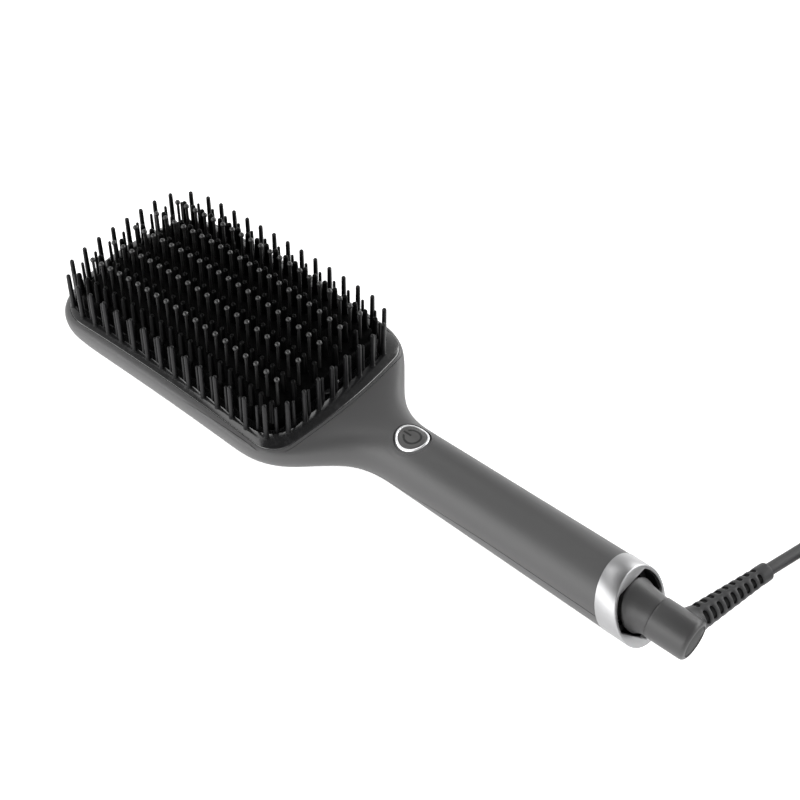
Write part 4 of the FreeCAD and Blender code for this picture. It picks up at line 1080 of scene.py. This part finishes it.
@dataclass
class CordSet(Assembly):
    """The free cord with its coil, tie, relief and plug; its sizes are in metres."""

    length: float = 2.7
    diameter: float = 0.0047
    exit: Triple = (0.147825, 0.042775, 0.0139)
    lead: tuple[Triple, ...] = ((0.1537, 0.0685, 0.0114), (0.1548, 0.0790, 0.0088))
    tail: tuple[Triple, ...] = (
        (0.2225, 0.0790, 0.0036),
        (0.2245, 0.0680, 0.0056),
        (0.226, 0.0548, 0.00685),
    )
    coil_centre: tuple[float, float] = (0.188, 0.088)
    slot_pitch: float = 0.00475
    slot_side: int = 4
    mean_radius: float = 0.026
    points_per_turn: int = 16
    shift_start: float = 0.62
    tie_width: float = 0.012
    tie_thickness: float = 0.0009
    tie_wall: float = 0.00081
    tie_edge: float = 0.0002
    tie_focus: int = 10

    def slots(self) -> list[tuple[float, float]]:
        """Radius and height of each turn, in winding order.

        Returns:
            The places, each next to the one before it in the bundle's section.
        """
        order = [(3, 1), (2, 1), (1, 1), (1, 2), (2, 2), (3, 2), (3, 3), (2, 3), (1, 3), (0, 3)]
        order += [(0, 2), (0, 1), (0, 0), (1, 0), (2, 0), (3, 0)]
        middle = (self.slot_side - 1) / 2.0
        return [
            (self.mean_radius + (column - middle) * self.slot_pitch, self.slot_pitch * (layer + 0.5))
            for column, layer in order
        ]

    def lift(self, angle: float) -> float:
        """How far the bundle rises over the tie's underside at an angle."""
        near = max(math.cos(angle), 0.0)
        return self.tie_thickness * near ** self.tie_focus

    def coil_points(self) -> list[Vector]:
        """Works out the turns, wound clockwise from the head's side.

        Returns:
            Their control points.
        """
        slots = self.slots()
        step = 2.0 * math.pi / self.points_per_turn
        # A quadratic spline passes inside its control points, so they stand out by this factor.
        outward = 1.0 / (0.75 + 0.25 * math.cos(step))
        points = []
        for i in range(1, int((len(slots) - 0.5) * self.points_per_turn)):
            turn, part = divmod(i / self.points_per_turn, 1.0)
            here = slots[int(turn)]
            there = slots[min(int(turn) + 1, len(slots) - 1)]
            change = min(max((part - self.shift_start) / (1.0 - self.shift_start), 0.0), 1.0)
            change = change * change * (3.0 - 2.0 * change)
            radius = (here[0] + (there[0] - here[0]) * change) * outward
            height = here[1] + (there[1] - here[1]) * change
            angle = math.pi - i * step
            x = self.coil_centre[0] + radius * math.cos(angle)
            y = self.coil_centre[1] + radius * math.sin(angle)
            points.append(Vector((x, y, height + self.lift(angle))))
        return points

    def cord(self) -> None:
        """The cord, one smooth line from the relief through the coil to the plug."""
        data = bpy.data.curves.new("mains_cord", "CURVE")
        data.dimensions = "3D"
        route = [self.exit, *self.lead, *self.coil_points(), *self.tail]
        spline = data.splines.new("NURBS")
        spline.points.add(len(route) - 1)
        for point, place in zip(spline.points, route):
            point.co = (*place, 1.0)
        spline.order_u = 3
        spline.use_endpoint_u = True
        spline.resolution_u = 4
        data.bevel_depth = self.diameter / 2.0
        data.bevel_resolution = 4
        data.use_fill_caps = True
        data.materials.append(self.finishes.jacket)
        solids = ("cord_tube", "cord_coil", "cord_tail")
        self.shop.settle(link("mains_cord", data), Body.SWIVEL, Slot.RUBBER, solids)

    def tie(self) -> None:
        """Strap round the bundle, on the side away from the brush."""
        low, high = (Vector(corner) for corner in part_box("cord_tie"))
        middle = (low + high) / 2.0
        bundle = self.slot_side * self.slot_pitch / 2.0
        bm = bmesh.new()
        bmesh.ops.create_circle(bm, cap_ends=False, segments=4, radius=bundle * math.sqrt(2.0))
        bmesh.ops.rotate(bm, verts=bm.verts, cent=ORIGIN, matrix=Matrix.Rotation(math.pi / 4.0, 3, "Z"))
        round_corners(bm, bm.verts[:], self.diameter / 2.0, 6)
        bmesh.ops.rotate(bm, verts=bm.verts, cent=ORIGIN, matrix=Matrix.Rotation(math.pi / 2.0, 3, "X"))
        grown = bmesh.ops.extrude_edge_only(bm, edges=bm.edges[:])
        raised = [item for item in grown["geom"] if isinstance(item, bmesh.types.BMVert)]
        bmesh.ops.translate(bm, verts=raised, vec=ACROSS * self.tie_width)
        centre = (middle.x, middle.y - self.tie_width / 2.0, bundle + self.tie_thickness)
        bmesh.ops.translate(bm, verts=bm.verts, vec=centre)
        tie = self.shop.add(
            "cord_tie_strap", bm, self.finishes.tie, Body.SWIVEL, Slot.RUBBER, ("cord_tie",)
        )
        modify(tie, "wall", "SOLIDIFY", thickness=self.tie_wall, offset=1.0)
        modify(tie, "edges", "BEVEL", width=self.tie_edge, segments=2)

    def build(self) -> None:
        """Cord, tie, relief and plug."""
        self.cord()
        self.tie()
        StrainRelief(self.shop).build()
        self.shop.dress(self.finishes.jacket, "plug_relief", "plug_body")
        self.shop.dress(self.finishes.nickel, "plug_pins")
        self.shop.dress(self.finishes.liner, "plug_sleeves")
        made, nodes = self.shop.made, frame["nodes"]
        on_cord = [made[name] for name in ("cord_tie_strap", "relief_sleeve", "relief_shade_tube")]
        on_cord += [nodes[name] for name in ("plug_relief", "plug_body", "plug_pins", "plug_sleeves")]


# ------------------------------------------------------------------ the brush
@dataclass
class Housing(Assembly):
    """Upper shell, back cover, rim ring and what closes the face from below."""

    def build(self) -> None:
        """Dresses the housing's solids."""
        self.shop.dress(self.finishes.housing, "main_shell", "back_cover", "front_frame", "screw_covers")
        self.shop.dress(self.finishes.liner, "heater_carrier")
        self.shop.dress(self.finishes.steel, "cover_screws", "board_screws", "clamp_plate")


@dataclass
class BristleTray(Assembly):
    """Glossy tray with its tall and thin outer bristles."""

    lip_far: Corner = Corner(-43.0, 21.0, 18.0, 107.5)
    lip_near: Corner = Corner(51.5, 27.6, 11.5, 180.0)
    recess_corner: Corner = Corner(45.7, 22.05, 13.0, 1500.0)
    block_corner: Corner = Corner(48.0, 25.0, 6.0, 2000.0)
    seam: float = 0.08
    block_play: float = 0.15
    thickness: float = 3.6
    recess: float = 2.0
    lip_fall: float = 0.45
    step_rise: float = 0.4
    lip_round: float = 0.45
    step_round: float = 0.5
    well_round: float = 0.7
    tall: Bristle = Bristle(1.05, 0.9, 16.86, 0.3)
    tall_pitch: float = 7.513
    tall_side_count: int = 13
    tall_side_y: float = 36.0
    tall_end_pitch: float = 7.71
    tall_end_count: int = 6
    tall_end_station: float = 59.57
    tall_corners: Pairs = ((53.12, 33.79), (58.39, 27.19))
    thin: Bristle = Bristle(0.76, 0.62, 12.7, 0.2, 2.8)
    thin_inset: float = 1.5

    def pan(self) -> None:
        """Flange, step and floor of the tray."""
        plan = Plan()
        far, near = self.lip_far.grown(-self.seam), self.lip_near.grown(-self.seam)
        hole = self.block_corner.grown(self.block_play)
        loops = [
            plan.outline(far, near, -self.thickness),
            plan.outline(far, near, -self.lip_fall),
            plan.even(self.recess_corner, self.step_rise),
            plan.even(self.recess_corner, -self.recess),
            plan.even(hole, -self.recess),
            plan.even(hole, -self.thickness),
        ]
        bridge(plan.bm, loops, closed=True)
        for loop, width in zip(loops[1:4], (self.lip_round, self.step_round, self.well_round)):
            soften(plan.bm, loop, width)
        plan.drop(HEAD_CROWN, lambda rise: 1.0)
        self.shop.add(
            "tray_pan", to_place(plan.bm), self.finishes.tray, Body.HOUSING, Slot.BRISTLES,
            ("bristle_tray",),
        )

    def tall_places(self) -> list[tuple[float, float]]:
        """Places the tall bristles.

        Returns:
            Their stations and offsets, in order round the tray.
        """
        side = [(x, self.tall_side_y) for x in spread(self.tall_side_count, self.tall_pitch)]
        end = [(self.tall_end_station, y) for y in spread(self.tall_end_count, self.tall_end_pitch)]
        left = side + list(self.tall_corners)
        first_half = left + end[::-1] + [(x, -y) for x, y in reversed(left)]
        last_half = [(-x, -y) for x, y in self.tall_corners] + [(-x, y) for x, y in end]
        return first_half + last_half + [(-x, y) for x, y in reversed(self.tall_corners)]

    def thin_places(self) -> list[tuple[float, float]]:
        """Places the thin bristles midway between neighbouring tall ones, a little inward.

        Returns:
            Their stations and offsets.
        """
        tall = self.tall_places()
        places = []
        for (x0, y0), (x1, y1) in zip(tall, tall[1:] + tall[:1]):
            share = self.thin_inset / math.hypot(x1 - x0, y1 - y0)
            places.append(((x0 + x1) / 2.0 + (y1 - y0) * share, (y0 + y1) / 2.0 - (x1 - x0) * share))
        return places

    def plant(self, name: str, bristle: Bristle, places: Pairs) -> None:
        """Plants one kind of bristle on the tray.

        Args:
            name: The piece's name.
            bristle: The bristle.
            places: Stations and offsets.
        """
        rooted = [(x, y, HEAD_CROWN.fall(x, y)) for x, y in places]
        nylon = self.finishes.nylon
        self.shop.add(name, bristle.field(rooted), nylon, Body.HOUSING, Slot.BRISTLES, sharp=60.0)

    def build(self) -> None:
        """Tray, tall bristles and thin bristles."""
        self.pan()
        self.plant("tall_bristles", self.tall, self.tall_places())
        self.plant("thin_bristles", self.thin, self.thin_places())


@dataclass
class HeatedFace(Assembly):
    """Heated cap with fluted walls, its pins, the ball-tipped comb and what lies under them."""

    corner: Corner = Corner(48.0, 25.0, 6.0, 2000.0)
    foot_rise: float = -6.0
    top_rise: float = 7.8
    top_inset: float = 2.5
    wall: float = 2.0
    edge: float = 1.1
    flute_count: int = 18
    flute_depth: float = 0.45
    flute_half: float = 0.6
    pin: Bristle = Bristle(1.4, 1.05, 10.0, 0.3, 0.8)
    pin_sunk: float = 0.3
    pin_pitch: float = 5.24
    row_pitch: float = 11.67
    columns: int = 21
    rows: int = 6
    strip: float = 4.0
    flat_normal: float = 0.99
    touch: float = 0.01

    def flute(self, station: float) -> float:
        """How deep the side walls are grooved at a station."""
        nearest = min(abs(station - place) for place in spread(self.flute_count, self.pin_pitch))
        return self.flute_depth * math.exp(-((nearest / self.flute_half) ** 2))

    def cut_strips(self, bm: bmesh.types.BMesh, axis: Vector, reach: float) -> None:
        """Cuts the flat faces into strips, so that they can follow the dome.

        Args:
            bm: The cap.
            axis: Direction across the strips.
            reach: Half the cap's size that way.
        """
        for i in range(int(-reach / self.strip), int(reach / self.strip) + 1):
            flat = [face for face in bm.faces if abs(face.normal.z) > self.flat_normal]
            around = dict.fromkeys(item for face in flat for item in (*face.verts, *face.edges))
            place = axis * (i * self.strip)
            bmesh.ops.bisect_plane(bm, geom=[*flat, *around], plane_co=place, plane_no=axis)

    def cap(self) -> None:
        """Thin cap, domed on top and open below."""
        plan = Plan(side_cuts=239, corner_steps=8, end_steps=12)
        inner = self.corner.grown(-self.wall)
        loops = [
            plan.even(self.corner.grown(-self.top_inset), self.top_rise),
            plan.even(self.corner, self.top_rise),
            plan.even(self.corner, self.foot_rise),
            plan.even(inner, self.foot_rise),
            plan.even(inner, self.top_rise - self.wall),
        ]
        bridge(plan.bm, loops, closed=False)
        for loop in (loops[0], loops[-1]):
            bmesh.ops.contextual_create(plan.bm, geom=loop)
        half_width = self.corner.half_width + self.corner.radius
        for vert in plan.bm.verts:
            if abs(vert.co.y) > half_width - self.touch and abs(vert.co.x) < self.corner.station:
                vert.co.y -= math.copysign(self.flute(vert.co.x), vert.co.y)
        soften(plan.bm, loops[1], self.edge, 4)
        plan.bm.normal_update()
        self.cut_strips(plan.bm, ALONG, self.corner.station + self.corner.radius)
        self.cut_strips(plan.bm, ACROSS, half_width)
        span = self.top_rise - self.foot_rise
        plan.drop(HEATED_DOME, lambda rise: (rise - self.foot_rise) / span)
        self.shop.add(
            "heated_cap", to_place(plan.bm), self.finishes.ceramic, Body.HOUSING, Slot.CERAMIC,
            ("heater_block",), 50.0,
        )

    def pins(self) -> None:
        """Short heated pins in rows."""
        foot = self.top_rise - self.pin_sunk
        places = [
            (x, y, foot + HEATED_DOME.fall(x, y))
            for x in spread(self.columns, self.pin_pitch)
            for y in spread(self.rows, self.row_pitch)
        ]
        pins = self.pin.field(places)
        self.shop.add("heated_pins", pins, self.finishes.pins, Body.HOUSING, Slot.CERAMIC, sharp=60.0)

    def build(self) -> None:
        """Cap, pins and comb, and the finishes of the heating parts."""
        self.cap()
        self.pins()
        self.shop.dress(self.finishes.balls, "ball_pin_comb")
        self.shop.dress(self.finishes.fired, "heater_left", "heater_right", "thermistor")
        self.shop.dress(self.finishes.felt, "insulation_pad")


@dataclass
class PowerButton(Assembly):
    """Bright ring, cap, symbol and what lies under them."""

    station: float = 96.0
    handle_radius: float = 12.48
    bend_depth: float = 0.5
    sides: int = 72
    ring_radius: float = 6.5
    ring_width: float = 0.95
    ring_proud: float = 0.15
    ring_foot: float = -6.2
    cap_clearance: float = 0.2
    cap_recess: float = 0.1
    cap_rings: tuple[float, float] = (0.35, 0.7)
    cap_bend_foot: float = -5.8
    flange_radius: float = 6.3
    flange_top: float = -6.32
    flange_thickness: float = 1.0
    stem_radius: float = 1.6
    stem_end: float = -10.7
    travel: float = 0.8
    pad_gap: float = 0.02
    pad_play: float = 0.03
    pad_foot: float = -9.2
    pad_step: float = 0.4
    pad_radius: float = 5.6
    pad_top_radius: float = 3.4
    pad_lip: float = 0.8
    pad_wall: float = 1.0

    def upright(self, profile: Sequence[Triple], top: float, foot: float) -> bmesh.types.BMesh:
        """Turns a closed profile round the button's axis and bends its top to the handle.

        Args:
            profile: Corners as rise, radius and the rounding of that corner.
            top: Rise that follows the handle fully.
            foot: Rise below which nothing bends.

        Returns:
            The form, in metres.
        """
        bm = spun(profile, ORIGIN, UP, ALONG, self.sides)
        for vert in bm.verts:
            bow = self.handle_radius - math.sqrt(self.handle_radius ** 2 - vert.co.y ** 2)
            vert.co.z -= bow * min(max((vert.co.z - foot) / (top - foot), 0.0), 1.0)
        bmesh.ops.translate(bm, verts=bm.verts, vec=ALONG * self.station)
        return to_place(bm)

    def handle_top(self) -> float:
        """Rise of the handle's top line."""
        return AXIS_RISE + self.handle_radius

    def ring(self) -> None:
        """Bright ring with soft edges."""
        top = self.handle_top() + self.ring_proud
        inner = self.ring_radius - self.ring_width
        profile = [
            (self.ring_foot, self.ring_radius, 0.0),
            (top, self.ring_radius, 0.4),
            (top, inner, 0.3),
            (self.ring_foot, inner, 0.0),
        ]
        bm = self.upright(profile, top - self.bend_depth, self.ring_foot)
        self.shop.add("bezel_bright", bm, self.finishes.bezel, Body.HOUSING, Slot.CHROME, ("light_ring",))

    def cap(self) -> None:
        """Cap with a broken edge, its flange and its stem."""
        top = self.handle_top() - self.cap_recess
        radius = self.ring_radius - self.ring_width - self.cap_clearance
        under = self.flange_top - self.flange_thickness
        profile = [
            (top, 0.0, 0.0),
            *((top, radius * share, 0.0) for share in self.cap_rings),
            (top, radius, 0.35),
            (self.flange_top, radius, 0.0),
            (self.flange_top, self.flange_radius, 0.15),
            (under, self.flange_radius, 0.15),
            (under, self.stem_radius, 0.0),
            (self.stem_end, self.stem_radius, 0.2),
            (self.stem_end, 0.0, 0.0),
        ]
        bm = self.upright(profile, top - self.bend_depth, self.cap_bend_foot)
        self.shop.add("cap_soft", bm, self.finishes.button, Body.BUTTON, Slot.BUTTON, ("button_cap",))

    def pad(self) -> None:
        """Rubber dome under the cap."""
        under = self.flange_top - self.flange_thickness
        top = under - self.pad_gap
        step = self.pad_foot + self.pad_step
        inner = self.pad_radius - self.pad_wall
        profile = [
            (self.pad_foot, self.pad_radius, 0.0),
            (step, self.pad_radius, 0.2),
            (top, self.pad_top_radius, 0.2),
            (top, self.pad_top_radius - self.pad_lip, 0.15),
            (step, inner, 0.0),
            (self.pad_foot, inner, 0.0),
        ]
        bm = self.upright(profile, 1.0, 0.0)
        silicone = self.finishes.silicone
        pad = self.shop.add("pad_dome", bm, silicone, Body.HOUSING, Slot.SILICONE, ("return_pad",))
        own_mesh(pad)

    def build(self) -> None:
        """Pad, ring and cap, and the finish of the symbol."""
        self.pad()
        self.ring()
        self.cap()
        self.shop.dress(self.finishes.mark, "power_symbol")


@dataclass
class Electronics(Assembly):
    """Board and parts in the handle."""

    def build(self) -> None:
        """Dresses the board and its parts."""
        self.shop.dress(self.finishes.board, "control_board")
        self.shop.dress(self.finishes.liner, "tact_switch", "control_chip", "triac", "filter_capacitor")
        self.shop.dress(self.finishes.fired, "status_led", "thermal_fuse", "connector_block")
        self.shop.dress(self.finishes.brass, "board_fuse", "slip_contacts", "spindle_rings")
        self.shop.dress(self.finishes.silicone, "heater_leads")


@dataclass
class SwivelEnd(Assembly):
    """End ring, sleeve, boot, barrel and their bearing."""

    shell_end: float = 190.8
    shell_slope: float = 0.377
    ring_gap: float = 0.2
    ring_front: float = 200.5
    ring_slope: float = 0.507
    ring_radius: float = 13.9
    ring_bore: float = 12.9
    ring_web: float = 1.2
    ring_segments: int = 128
    ring_rounds: Triple = (0.4, 0.22, 0.15)
    opening_radius: float = 12.6
    flat_reach: float = 10.0
    flats: Triple = (0.0, 135.0, 225.0)
    boot_start: float = 189.5
    boot_edge: float = 199.7
    boot_slope: float = 0.43
    boot_radius: float = 9.5
    boot_rim: tuple[Triple, ...] = (
        (-1.3, -1.5, 0.4),
        (-0.7, 0.0, 0.25),
        (0.0, 0.0, 0.3),
        (0.9, -0.45, 0.3),
        (2.0, -0.85, 0.6),
    )
    boot_flank: tuple[Triple, ...] = ((203.0, 8.35, 1.0), (205.0, 7.88, 0.8))
    boot_end: float = 207.0
    boot_waist: float = 7.72
    bush_radius: float = 5.2
    gap: float = 0.07
    barrel_radius: float = 8.0
    barrel_lead: float = 0.5
    barrel_fall: float = 0.1
    barrel_end: float = 223.0
    barrel_round: float = 1.7
    disc_radius: float = 6.2
    disc_thickness: float = 1.2
    disc_recess: float = 0.25
    disc_play: float = 0.06
    disc_seat_gap: float = 0.05
    sides: int = 96

    def turned(
        self, profile: Sequence[Triple], lean: Callable[[float], float] = lambda station: 0.0
    ) -> bmesh.types.BMesh:
        """Turns a closed profile round the handle's axis.

        Args:
            profile: Corners as station, radius and the rounding of that corner.
            lean: How far a station leans back for each millimetre above the axis.

        Returns:
            The form, in metres.
        """
        bm = spun(profile, UP * AXIS_RISE, ALONG, UP, self.sides)
        for vert in bm.verts:
            vert.co.x -= lean(vert.co.x) * (vert.co.z - AXIS_RISE)
        return to_place(bm)

    def ring(self) -> None:
        """Bright ring with soft edges and webs that flatten its opening."""
        start, web = self.shell_end + self.ring_gap, self.ring_front - self.ring_web
        sections = (
            (start, self.ring_radius),
            (self.ring_front, self.ring_radius),
            (self.ring_front, self.opening_radius),
            (web, self.opening_radius),
            (web, self.ring_bore),
            (start, self.ring_bore),
        )
        turn = Matrix.Rotation(math.pi / 2.0, 3, "Y")
        bm, loops = hoops(sections, self.ring_segments, turn, closed=True)
        rim = {vert for edge in loops[2] + loops[3] for vert in edge.verts}
        for angle in self.flats:
            outward = Vector((0.0, -math.sin(math.radians(angle)), math.cos(math.radians(angle))))
            for vert in rim:
                vert.co -= outward * max(vert.co.dot(outward) - self.flat_reach, 0.0)
        front, mouth, back = self.ring_rounds
        soften(bm, loops[1], front)
        soften(bm, loops[2], mouth, 2)
        soften(bm, loops[0], back, 2)
        share = (self.ring_slope - self.shell_slope) / (self.ring_front - self.shell_end)
        for vert in bm.verts:
            vert.co.x -= (self.shell_slope + (vert.co.x - self.shell_end) * share) * vert.co.z
        bmesh.ops.translate(bm, verts=bm.verts, vec=UP * AXIS_RISE)
        chrome = self.finishes.chrome
        self.shop.add("end_ring_bright", to_place(bm), chrome, Body.HOUSING, Slot.CHROME, ("end_ring",))

    def boot_lean(self, station: float) -> float:
        """Lean of the boot's sections, from the flare to the upright waist."""
        share = min(max((self.boot_end - station) / (self.boot_end - self.boot_edge), 0.0), 1.0)
        return self.boot_slope * share * share * (3.0 - 2.0 * share)

    def boot(self) -> None:
        """Fixed boot that flares towards the ring."""
        rim = [
            (self.boot_edge + along, self.boot_radius + outward, rounding)
            for along, outward, rounding in self.boot_rim
        ]
        profile = [
            (self.boot_start, rim[0][1], 0.0),
            *rim,
            *self.boot_flank,
            (self.boot_end, self.boot_waist, 0.14),
            (self.boot_end, self.bush_radius, 0.0),
            (self.boot_start, self.bush_radius, 0.0),
        ]
        self.shop.add(
            "boot_flared", self.turned(profile, self.boot_lean), self.finishes.turret, Body.HOUSING,
            Slot.HOUSING, ("swivel_boot",),
        )

    def barrel(self) -> None:
        """Turning barrel with a soft end and a seat for the disc."""
        start = self.boot_end + self.gap
        floor = self.barrel_end - self.disc_recess - self.disc_thickness
        seat = self.disc_radius + self.disc_play
        profile = [
            (start, self.barrel_radius - self.barrel_fall, 0.06),
            (start + self.barrel_lead, self.barrel_radius, 0.3),
            (self.barrel_end, self.barrel_radius, self.barrel_round),
            (self.barrel_end, seat, 0.12),
            (floor, seat, 0.0),
            (floor, 0.0, 0.0),
            (start, 0.0, 0.0),
        ]
        self.shop.add(
            "barrel_soft", self.turned(profile), self.finishes.turret, Body.SWIVEL, Slot.HOUSING,
            ("swivel_barrel",),
        )

    def disc(self) -> None:
        """Flat disc in the barrel's end, its edge broken."""
        end = self.barrel_end - self.disc_recess
        back = end - self.disc_thickness + self.disc_seat_gap
        profile = [
            (back, 0.0, 0.0),
            (back, self.disc_radius, 0.0),
            (end, self.disc_radius, 0.25),
            (end, 0.0, 0.0),
        ]
        self.shop.add(
            "end_disc_soft", self.turned(profile), self.finishes.disc, Body.SWIVEL, Slot.HOUSING,
            ("barrel_end_disc",),
        )

    def build(self) -> None:
        """Ring, boot, barrel and disc, and the finishes behind them."""
        self.ring()
        self.boot()
        self.barrel()
        self.disc()
        self.shop.dress(self.finishes.liner, "inner_sleeve", "swivel_bush")
        self.shop.dress(self.finishes.steel, "swivel_spindle")


def main() -> None:
    """Builds the studio and the brush."""
    logging.basicConfig(level=logging.INFO, format="%(name)s: %(message)s")
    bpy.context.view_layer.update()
    Studio().build()
    shop = Workshop(Finishes())
    for assembly in (CordSet, Housing, BristleTray, HeatedFace, PowerButton, Electronics, SwivelEnd):
        assembly(shop).build()
    LOG.info("%d pieces made", len(shop.made))


if __name__ == "__main__":
    main()
